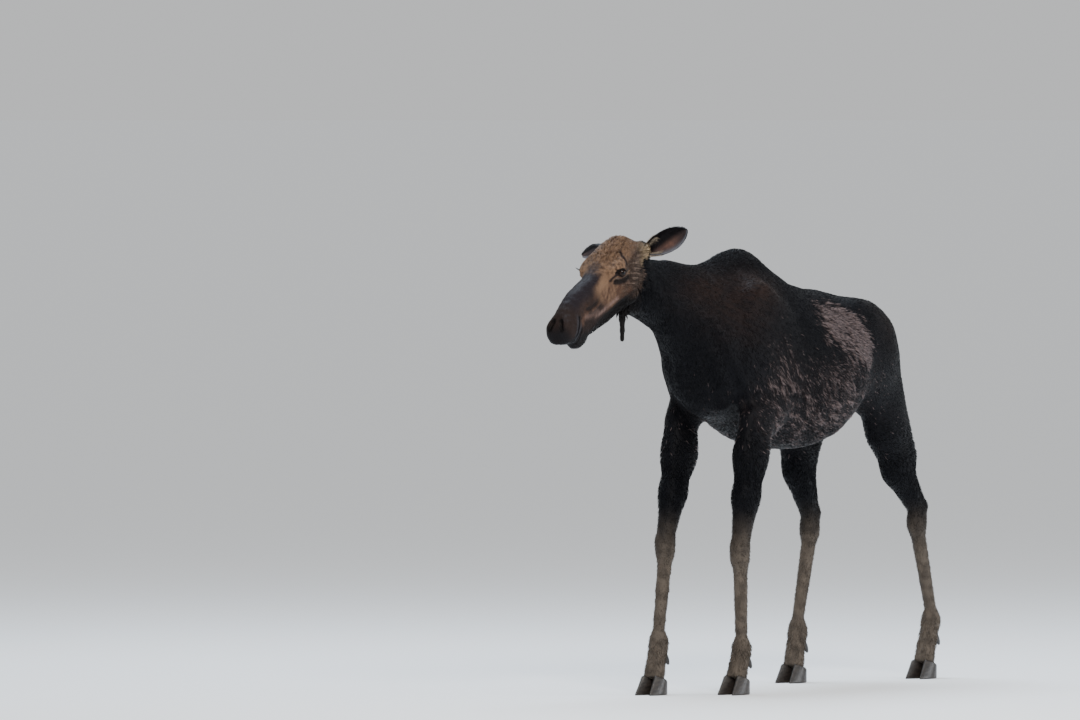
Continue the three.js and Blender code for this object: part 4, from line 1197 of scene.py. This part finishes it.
class Ear:
    """A cupped ear: a sheet rolled into a tube at its root, spread towards the middle and tip."""

    def __init__(self, root, tip, front, margin):
        self.root = on_head(root)
        self.along = unit(np.array(tip, float))
        front = np.array(front, float)
        self.facing = unit(front - self.along * (front @ self.along))
        self.across = np.cross(self.along, self.facing)
        self.margin = margin  # how much narrower it is than the solid ear, on each side
        self.upper = 1 if self.across[2] > 0 else -1  # the sign of turn at its upper edge

    def place(self, t, turn, depth):
        """The point at t from root to tip, turned from -1 to 1 round the sheet, off its middle."""
        t, turn = np.asarray(t, float), np.asarray(turn, float)
        wrap = np.radians(ear_wrap(t))
        half_width = EAR_HALF_WIDTH * ear_half_width(t) - self.margin
        radius = half_width / np.sin(np.minimum(wrap, math.pi / 2))
        r = radius + np.minimum(EAR_THICKNESS * ear_thickness(t), radius * 0.8) / 2 * depth
        r = r + 1.2 * np.sin(turn * 9 + t * 5) * ramp(t, 0.1, 0.4) * (np.abs(turn) < 1)
        centre = self.root + self.along * (EAR_LENGTH * t)[..., None]
        side = self.across * (r * np.sin(turn * wrap))[..., None]
        return centre + side - self.facing * (r * np.cos(turn * wrap))[..., None]

    def mesh(self, rows=46, columns=26):
        turn = np.linspace(-1, 1, columns)
        edge = np.sqrt(np.clip(1 - np.abs(turn) ** 12, 0.05, 1))
        rings = []
        for t in np.linspace(0, 0.998, rows):
            back = self.place(np.full(columns, t), turn, edge)
            inside = self.place(np.full(columns, t), turn[::-1], -edge[::-1])
            rings.append(np.vstack([back, inside]))
        points, tris = closed_loft(rings)
        t = np.append(np.repeat(np.linspace(0, 1, rows), 2 * columns), [0, 1])
        turn = np.append(np.tile(np.append(turn, turn[::-1]), rows), [0, 0])
        within = np.append(np.tile(np.repeat([0, 1], columns), rows), [0, 0]).astype(float)
        return points, tris, self.colour(points, t, turn, within)

    def colour(self, p, t, turn, within):
        """Dark behind; inside reddish in the middle, black above, pale along the lower edge with
        painted blue-grey light, and painted shade deep at its root.
        """
        middle = np.exp(-(((t - 0.42) / 0.2) ** 2)) * np.exp(-(((turn - 0.1) / 0.45) ** 2))
        high = turn * self.upper
        inner = np.tile(EAR_INSIDE, (len(p), 1))
        inner = mix(inner, EAR_MIDDLE, middle * (0.75 + 0.3 * ripple(p, 22, 71)))
        inner = mix(inner, EAR_UPPER, ramp(high - 0.7 * (t - 0.35), -0.25, 0.25))
        # Pale hair along the lower edge, painted blue-grey with the sky's light that falls on it.
        inner = mix(inner, EAR_LOWER_EDGE_PAINTED_LIGHT, 0.8 * ramp(-high + 0.3 * (t - 0.5), 0.3, 0.8))
        # Painted shade deep in the ear's tube at its root.
        inner = mix(inner, EAR_HOLLOW_PAINTED_SHADE, ramp(t, 0.2, 0.02))
        colour = mix(np.tile(EAR_BACK, (len(p), 1)), inner, within)
        return mix(colour, EAR_BACK_ROOT, 0.8 * ramp(t, 0.36, 0.06) * (1 - within))


ears = {name: Ear(*shape) for name, shape in EARS.items()}
for name, ear in ears.items():
    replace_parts(piece(f"ear_skin_{name}", *ear.mesh(), EAR_SKIN, "ear_hair"), f"ear_{name}")


# ---- Hooves ----
CLAW_COLOUR, CLAW_STREAK = (0.010, 0.008, 0.0075), (0.030, 0.024, 0.020)
DEWCLAW_COLOUR = (0.014, 0.011, 0.010)
TOE_SLOPE, HEEL_SLOPE = 0.8, 0.12
OUTER_SHARE, INNER_SHARE = 0.6, 0.4  # of a claw's width, on either side of its middle
DEWCLAW_RADIUS = 15


def coronet_height(x):
    """The height of a foot's hairline, at x from the foot's middle."""
    return CORONET_HEIGHT - x * math.tan(CORONET_TILT)


def claw(leg, partner, rings=16, around=40):
    """One claw of a hoof, pointed at the toe, with growth rings and a worn rounded edge below."""
    rows = []
    turn = np.linspace(0, 2 * math.pi, around, endpoint=False)
    c, s = np.cos(turn), np.sin(turn)
    taper = np.where(c < 0, 1 - 0.6 * c * c, 1 - 0.15 * c * c)
    share = np.where(s * partner < 0, INNER_SHARE, OUTER_SHARE)
    for level in np.append([0.0, 0.015, 0.05], np.linspace(0.1, 1.03, rings)):
        z = np.full(around, level * CORONET_HEIGHT)
        for _ in range(3):
            toe, heel = -CLAW_LENGTH * 0.6 + z * TOE_SLOPE, CLAW_LENGTH * 0.4 - z * HEEL_SLOPE
            middle = (toe + heel) / 2
            x = middle + c * (heel - toe) / 2
            z = level * coronet_height(x - CLAW_ADVANCE)
        y = s * taper * share * CLAW_WIDTH * (1 - z * 0.0012)
        worn = 1 - 0.06 * (1 - min(level / 0.05, 1)) ** 2
        ridge = 1 + 0.008 * math.sin(level * 46) * (level > 0.1)
        rows.append(np.stack([middle + (x - middle) * worn * ridge, y * worn * ridge, z], 1))
    points, tris = closed_loft(rows)
    points = points @ turn_about("z", -partner * CLAW_SPLAY).T
    offset = CLAW_WIDTH * INNER_SHARE + CLAW_SPACING / 2
    foot = leg["foot"]
    points = points + [foot[0] - CLAW_ADVANCE, foot[1] + partner * offset, 0]
    streaks = 0.5 + 0.5 * ripple(points * [1, 1, 3], 30, 81)
    return points, tris, mix(np.tile(CLAW_COLOUR, (len(points), 1)), CLAW_STREAK, streaks)


def dewclaw(leg, partner):
    """A small blunt horn behind the fetlock, bent down towards its tip."""
    centre = leg["ankle"] + (leg["foot"] - leg["ankle"]) * 0.42 + [34, partner * 21, 0]
    start, tip = centre + [-14, 0, 16], centre + [20, partner * 3, -26]
    ahead = unit(tip - start)
    across = unit(np.array([0, 1, 0]) - ahead * ahead[1])
    third = np.cross(ahead, across)
    turn = np.linspace(0, 2 * math.pi, 20, endpoint=False)
    section = np.cos(turn)[:, None] * across * 0.85 + np.sin(turn)[:, None] * third
    rows = []
    for t in np.linspace(0, 1, 10):
        middle = (1 - t) ** 2 * start + 2 * t * (1 - t) * (centre + [3, 0, 2]) + t * t * tip
        blunt = math.sqrt(max(1 - (t * 0.94) ** 2.2, 0.02))
        rows.append(middle + DEWCLAW_RADIUS * blunt * (0.93 + 0.07 * t) * section)
    points, tris = closed_loft(rows)
    return points, tris, np.tile(DEWCLAW_COLOUR, (len(points), 1))


for name, leg in LEGS.items():
    for where, partner in (("outer", leg["side"]), ("inner", -leg["side"])):
        hoof = piece(f"{name}_hoof_{where}", *claw(leg, partner), HORN, "hoof_horn")
        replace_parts(hoof, f"{name}_claw_{where}")
        back_claw = piece(f"{name}_back_claw_{where}", *dewclaw(leg, partner), HORN, "hoof_horn")
        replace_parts(back_claw, f"{name}_dewclaw_{where}")


# ---- Coat ----
def on_the_head(q, hind, front):
    """1 on the head and 0 on the neck, changing from x = hind to x = front of the head's frame."""
    return ramp(q[:, 0], hind, front) * ramp(np.linalg.norm(q, axis=1), 470, 430)


def lie_of_hair(p):
    """The way in which the hair lies, before it is laid along the skin."""
    q, m = to_head(p), mirrored(p)
    face = np.tile((1.0, 0.0, 0.0), (len(p), 1))
    face[:, 2] -= 0.9 * ramp(q[:, 2], 0, -60)
    face[:, 1] += 0.5 * np.sign(q[:, 1]) * ramp(q[:, 2], 20, 60)
    head = on_the_head(q, 230, 180)
    way = np.tile((0.86, 0.0, -0.5), (len(p), 1))
    for direction, share in (
        ((0.97, 0, -0.12), ramp(p[:, 2], 1250, 1020)),  # belly
        ((0.5, 0, -0.87), spot(m, [60, 260, 1290], [260, 500, 190])),  # flank
        ((1, 0, 0), ramp(np.abs(p[:, 1]), 70, 20) * (p[:, 2] > 1500)),  # crest
        ((0.35, 0, -0.94), ramp(p[:, 0], -100, -260) * ramp(p[:, 2], 1560, 1400)),  # breast
        ((0.12, 0, -0.99), ramp(p[:, 2], 960, 820)),  # legs
        (face @ HEAD_TURNED.T, head),
        ((0.15, 0, -1), head * ramp(q[:, 2], -95, -135)),  # under the jaw
    ):
        way = mix(way, direction, share)
    return way


def coat_length(p):
    """The length of the tufts here, in millimetres."""
    q = to_head(p)
    x, z = q[:, 0], q[:, 2]
    h = mirrored(q)
    crest = 14 * ramp(p[:, 2], 1660, 1750) * (p[:, 0] > -560)
    body = 15 + 16 * moulting(p) + crest + 6 * ramp(p[:, 2], 1100, 1000)
    leg = ramp(p[:, 2], 940, 640)
    length = body * (1 - leg) + 11 * leg
    length += 8 * spot(p[:, 2:], [170], [60]) * leg
    length += 18 * (np.linalg.norm((p - TAIL[2]) / [1, 1, 1.6], axis=1) < 70)
    face = 5 + 6 * ramp(x, -150, 60) + 6 * ramp(z, 44, 58) * ramp(x, -20, 60)
    face += 9 * ramp(x, -30, 40) * ramp(z, 0, -70) + 7 * ramp(z, -100, -135)
    face -= 2.2 * ramp(x, -250, -330)
    face += spots(
        h,
        (14, [190, 86, -26], [34, 30, 34]),
        (-6, [0, EYE_OFFSET, EYE_LEVEL], [46, 46, 46]),
        (-4, BROW_FURROW[1], [30, 30, 22]),
    )
    head = on_the_head(q, 215, 165)
    length = length * (1 - head) + np.maximum(face, 2.5) * head
    return np.where(path_distance(p, BELL[1:])[0] < 30, 6, length)


def coat_rise(p):
    """How far the tufts' tips stand off the skin, as a share of their length."""
    q = to_head(p)
    x, z = q[:, 0], q[:, 2]
    rise = 0.13 + 0.12 * moulting(p) + 0.15 * ramp(p[:, 2], 1660, 1760)
    rise += 0.1 * ramp(p[:, 2], 1100, 1000)
    forehead = 0.25 * ramp(z, 44, 58) * ramp(x, -20, 60)
    clear_of_bell = path_distance(p, BELL[1:])[0] > 30
    jaw = 0.3 * ramp(z, -100, -135) * ramp(x, 190, 120) * clear_of_bell
    ear_root = 0.3 * spot(mirrored(q), [190, 86, -26], [34, 30, 34])
    return rise + (np.linalg.norm(q, axis=1) < 470) * (forehead + jaw + ear_root)


def coat_density(p):
    """How many tufts stand here for its area: more where they are shorter, none on bare skin."""
    q = to_head(p)
    h = mirrored(q)
    near = np.linalg.norm(q - [-100, 0, -40], axis=1) < 400
    density = 1 + 1.2 * moulting(p) + ramp(p[:, 2], 1640, 1740) - 0.1 * ramp(p[:, 2], 900, 700)
    eye = np.linalg.norm(h - [0, EYE_OFFSET, EYE_LEVEL], axis=1)
    opening = np.minimum(path_distance(h, NOSTRIL)[0], path_distance(h, MOUTH)[0])
    bare = (eye < EYE_RADIUS + 6) | (near & (opening < 12)) | (near & (q[:, 0] < -372))
    return np.where(bare, 0.0, density + near * 3.5)


REGIONS = ("head_left", "head_right", "neck_left", "neck_right", "front_left", "front_right",
           "side_left", "side_right", "rump_left", "rump_right") + LEG_NAMES
TUFTS = {"head": 14500, "neck": 7500, "front": 10000, "side": 13500, "rump": 9000,
         "foreleg": 5000, "hindleg": 5500}


def region_of(p):
    """Which piece of coat a place belongs to, as its number in REGIONS."""
    q = to_head(p)
    x, y, z = p.T
    right = (y > 0).astype(int)
    body = np.select([x < 130, x < 600], [4, 6], 8) + right
    body = np.where(x < -330, 2 + (y > 25), body)
    on_skull = (q[:, 0] < 215) & (x < -600) & (z > 1350)
    body = np.where(on_skull, (q[:, 1] > 0).astype(int), body)
    leg = np.where(x < 350, 10, 12) + right
    return np.where(z < 930, leg, body)


def unwrap(region, p):
    """Where a place lies on the flat unwrap of its region: round the region's axis and along it."""
    if "head" in region:
        q = to_head(p)
        around, along = np.arctan2(q[:, 2] + 50, np.abs(q[:, 1]) + 4), q[:, 0]
    elif "leg" in region:
        leg = LEGS[region]
        line = np.array([leg[k] for k in ("foot", "ankle", "knee", "top")])
        axis = [np.interp(p[:, 2], line[:, 2], line[:, k]) for k in (0, 1)]
        around, along = np.arctan2(p[:, 1] - axis[1], p[:, 0] - axis[0]), p[:, 2]
    else:
        middle = np.interp(p[:, 0], [-780, -330, 0, 1000], [1640, 1460, 1380, 1360])
        around, along = np.arctan2(p[:, 2] - middle, np.abs(p[:, 1]) + 4), p[:, 0]
    flat = np.stack([along, around], 1)
    low, high = flat.min(0), flat.max(0)
    return 0.01 + 0.975 * (flat - low) / (high - low)


def scatter(tris, weights, count):
    """Random places on the skin, and its normals there."""
    pick = rng.choice(tris, count, p=weights / weights.sum())
    u, v = rng.random((2, count))
    over = u + v > 1
    u, v = np.where(over, 1 - u, u), np.where(over, 1 - v, v)
    a, b, c = (skin_points[skin_tris[pick, k]] for k in range(3))
    na, nb, nc = (skin_normals[skin_tris[pick, k]] for k in range(3))
    p = a + u[:, None] * (b - a) + v[:, None] * (c - a)
    return p, unit(na + u[:, None] * (nb - na) + v[:, None] * (nc - na))


def skin_height(p):
    """How far points stand off the skin, roughly, kept small where they leave it altogether."""
    return np.clip(in_batches(skin_surface, p), -14, 14)


ROOT_DEPTH = 1.2  # how far a tuft's root is sunk in the skin
TUFT_FLATNESS = 0.55
# Painted shade: each tuft is darker at its root, where the coat shades it, and lighter at its tip.
TUFT_PAINTED_SHADING = np.array([0.85, 0.85, 0.85, 1, 1, 1, 1.15])  # at the root, the middle and the tip
TUFT_PATCH = 0.0015 * np.array(
    [(-1, -1), (1, -1), (0, -0.6), (-1, 0.4), (1, 0.4), (0, 0.2), (0, 1)]
)


def tufts(root, normal, way, length, rise, width, colour, flat, height=None):
    """Solid tapered locks: three-sided at the root and the middle, and drawn to a point.

    `height` is how far a place stands off the surface that the locks follow.
    """
    count = len(root)
    way = unit(way + rng.normal(scale=0.16, size=(count, 3)))
    along = unit(way - normal * (way * normal).sum(1)[:, None] + 1e-6)
    side = np.cross(normal, along)
    bend = rng.normal(scale=0.12, size=count) * length
    middle = root + along * (0.5 * length)[:, None] + side * (0.35 * bend)[:, None]
    tip = root + along * length[:, None] + side * bend[:, None]
    if height:
        middle = middle - normal * height(middle)[:, None]
        tip = tip - normal * height(tip)[:, None]
    middle = middle + normal * (0.75 * rise * length)[:, None]
    tip = tip + normal * (rise * length)[:, None]
    corners = []
    for centre, share in ((root - normal * ROOT_DEPTH, 1.0), (middle, 0.8)):
        for angle in (math.pi / 2, math.pi * 7 / 6, math.pi * 11 / 6):
            offset = side * math.cos(angle) + normal * math.sin(angle) * TUFT_FLATNESS
            corners.append(centre + offset * (width * share / 2)[:, None])
    points = np.stack(corners + [tip], 1).reshape(-1, 3)
    pattern = [(0, 2, 1)]
    for k in range(3):
        n = (k + 1) % 3
        pattern += [(k, n, n + 3), (k, n + 3, k + 3), (k + 3, n + 3, 6)]
    tris = (np.arange(count)[:, None, None] * 7 + np.array(pattern)[None]).reshape(-1, 3)
    # Painted shade along each tuft: darker at its root, lighter at its tip.
    colours = (colour[:, None] * TUFT_PAINTED_SHADING[None, :, None]).reshape(-1, 3)
    uv = (flat[:, None] + TUFT_PATCH[None]).reshape(-1, 2)
    return points, tris, colours, uv


def coat_piece(name, tuft_mesh, slot):
    points, tris, colours, uv = tuft_mesh
    piece(name, points, tris, colours, FUR, slot, uv=uv)


COAT_SLOTS = {"head": "face_hair", "foreleg": "leg_hair", "hindleg": "leg_hair"}
tri_middles = skin_points[skin_tris].mean(axis=1)
tri_regions = region_of(tri_middles)
tri_weights = skin_areas * coat_density(tri_middles)
for number, region in enumerate(REGIONS):
    kind = region.split("_")[0]
    tris = np.flatnonzero((tri_regions == number) & (tri_weights > 0))
    root, normal = scatter(tris, tri_weights[tris], TUFTS[kind])
    length = coat_length(root) * rng.uniform(0.7, 1.2, len(root))
    width = np.clip(0.17 * length, 1.3, 5.5)
    colour = coat_colour(root) * rng.uniform(0.8, 1.25, (len(root), 1))
    pale = rng.random(len(root)) < 0.85 * moulting(root)
    colour = mix(colour, PALE_TUFT, pale * rng.uniform(0.15, 0.85, len(root)))
    way, rise, flat = lie_of_hair(root), coat_rise(root), unwrap(region, root)
    locks = tufts(root, normal, way, length, rise, width, colour, flat, skin_height)
    coat_piece(f"coat_{region}", locks, COAT_SLOTS.get(kind, "body_coat"))


def ear_coat(ear, count=8500):
    """Short hair over an ear, longer and pale round its opening at the root."""
    t = rng.uniform(0.1, 0.99, count)
    turn = rng.uniform(-0.98, 0.98, count)
    within = (rng.random(count) < 0.3).astype(float)
    fuzz = rng.random(count) < 0.3
    t = np.where(fuzz, rng.uniform(0.02, 0.30, count), t)
    turn = np.where(fuzz, np.sign(turn) * rng.uniform(0.5, 1, count), turn)
    side = np.where(within > 0, -1.0, 1.0)
    root = ear.place(t, turn, side)
    normal = unit(root - ear.place(t, turn, 0 * side))
    ahead = unit(ear.place(t + 0.01, turn, side) - root)
    around = unit(ear.place(t, turn + 0.02, side) - root)
    way = ahead + np.where(fuzz, 0.35 * np.sign(turn), -0.15 * turn)[:, None] * around
    way = way + np.where(fuzz, 0.45, 0.1)[:, None] * rng.normal(size=(count, 3))
    length = np.where(fuzz, rng.uniform(7, 15, count), rng.uniform(4, 8, count))
    length = length * (1 - 0.3 * ramp(t, 0.8, 1))
    colour = mix(ear.colour(root, t, turn, within), EAR_FUZZ, fuzz * 0.9)
    colour = colour * rng.uniform(0.7, 1.35, (count, 1))
    flat = np.stack([t, (turn + 1) / 4 + within / 2], 1) * 0.98 + 0.01
    rise, width = np.where(fuzz, 0.16, 0.14), np.clip(0.09 * length, 0.9, 1.9)
    return tufts(root, normal, way, length, rise, width, colour, flat)


for name, ear in ears.items():
    coat_piece(f"coat_ear_{name}", ear_coat(ear), "ear_hair")


# ---- Floor, lights and camera ----
CAMERA_AZIMUTH, CAMERA_ELEVATION = math.radians(-60), math.radians(1.2)
CAMERA_DISTANCE = 47.5
CAMERA_LENS = 395.8
AIM_RIGHT, AIM_UP = 0.78, 0.4548  # of the picture's middle from the top of the hump
PALE = (0.80, 0.81, 0.82)
WORLD_STRENGTH = 0.8
FLOOR_GLOW = 0.17  # brings the floor up to the world's own paleness, so that no horizon shows

az, el = CAMERA_AZIMUTH, CAMERA_ELEVATION
back = np.array([math.sin(az) * math.cos(el), -math.cos(az) * math.cos(el), math.sin(el)])
right = np.array([math.cos(az), math.sin(az), 0])
up = np.cross(back, right)
aim = metres([0, 0, HUMP_HEIGHT]) - right * AIM_RIGHT - up * AIM_UP

lens = bpy.data.cameras.new("camera")
lens.lens, lens.sensor_width = CAMERA_LENS, 36
lens.clip_end = 10000
camera = bpy.data.objects.new("camera", lens)
bpy.context.collection.objects.link(camera)
camera.location = Vector(aim + back * CAMERA_DISTANCE)
camera.rotation_euler = Vector(-back).to_track_quat("-Z", "Y").to_euler()
bpy.context.scene.camera = camera

bpy.ops.mesh.primitive_circle_add(vertices=96, radius=3000, fill_type="NGON", location=(0, 0, -0.001))
floor = bpy.context.object
floor.name = "floor"
paint = bpy.data.materials.new("pale_floor")
paint.use_nodes = True
shader = paint.node_tree.nodes["Principled BSDF"]
shader.inputs["Base Color"].default_value = (*PALE, 1)
shader.inputs["Roughness"].default_value = 0.9
shader.inputs["Specular IOR Level"].default_value = 0
shader.inputs["Emission Color"].default_value = (*PALE, 1)
shader.inputs["Emission Strength"].default_value = FLOOR_GLOW
floor.data.materials.append(paint)

world = bpy.data.worlds.new("studio")
bpy.context.scene.world = world
world.use_nodes = True
world.node_tree.nodes["Background"].inputs["Color"].default_value = (*PALE, 1)
world.node_tree.nodes["Background"].inputs["Strength"].default_value = WORLD_STRENGTH


def soft_light(name, place, size, power, colour=(1, 1, 1)):
    lamp = bpy.data.lights.new(name, "AREA")
    lamp.shape, lamp.size, lamp.energy, lamp.color = "DISK", size, power, colour
    made = bpy.data.objects.new(name, lamp)
    bpy.context.collection.objects.link(made)
    made.location = Vector(place)
    made.rotation_euler = (Vector((0, 0, 1.1)) - Vector(place)).to_track_quat("-Z", "Y").to_euler()


soft_light("key", (-6.5, -5.5, 6.5), 3.0, 900, (1.0, 0.96, 0.90))
soft_light("fill", (3.5, -8.5, 3.0), 4.0, 350, (0.90, 0.95, 1.0))
soft_light("sky", (1.5, 2.0, 8.0), 5.0, 800, (0.72, 0.85, 1.0))
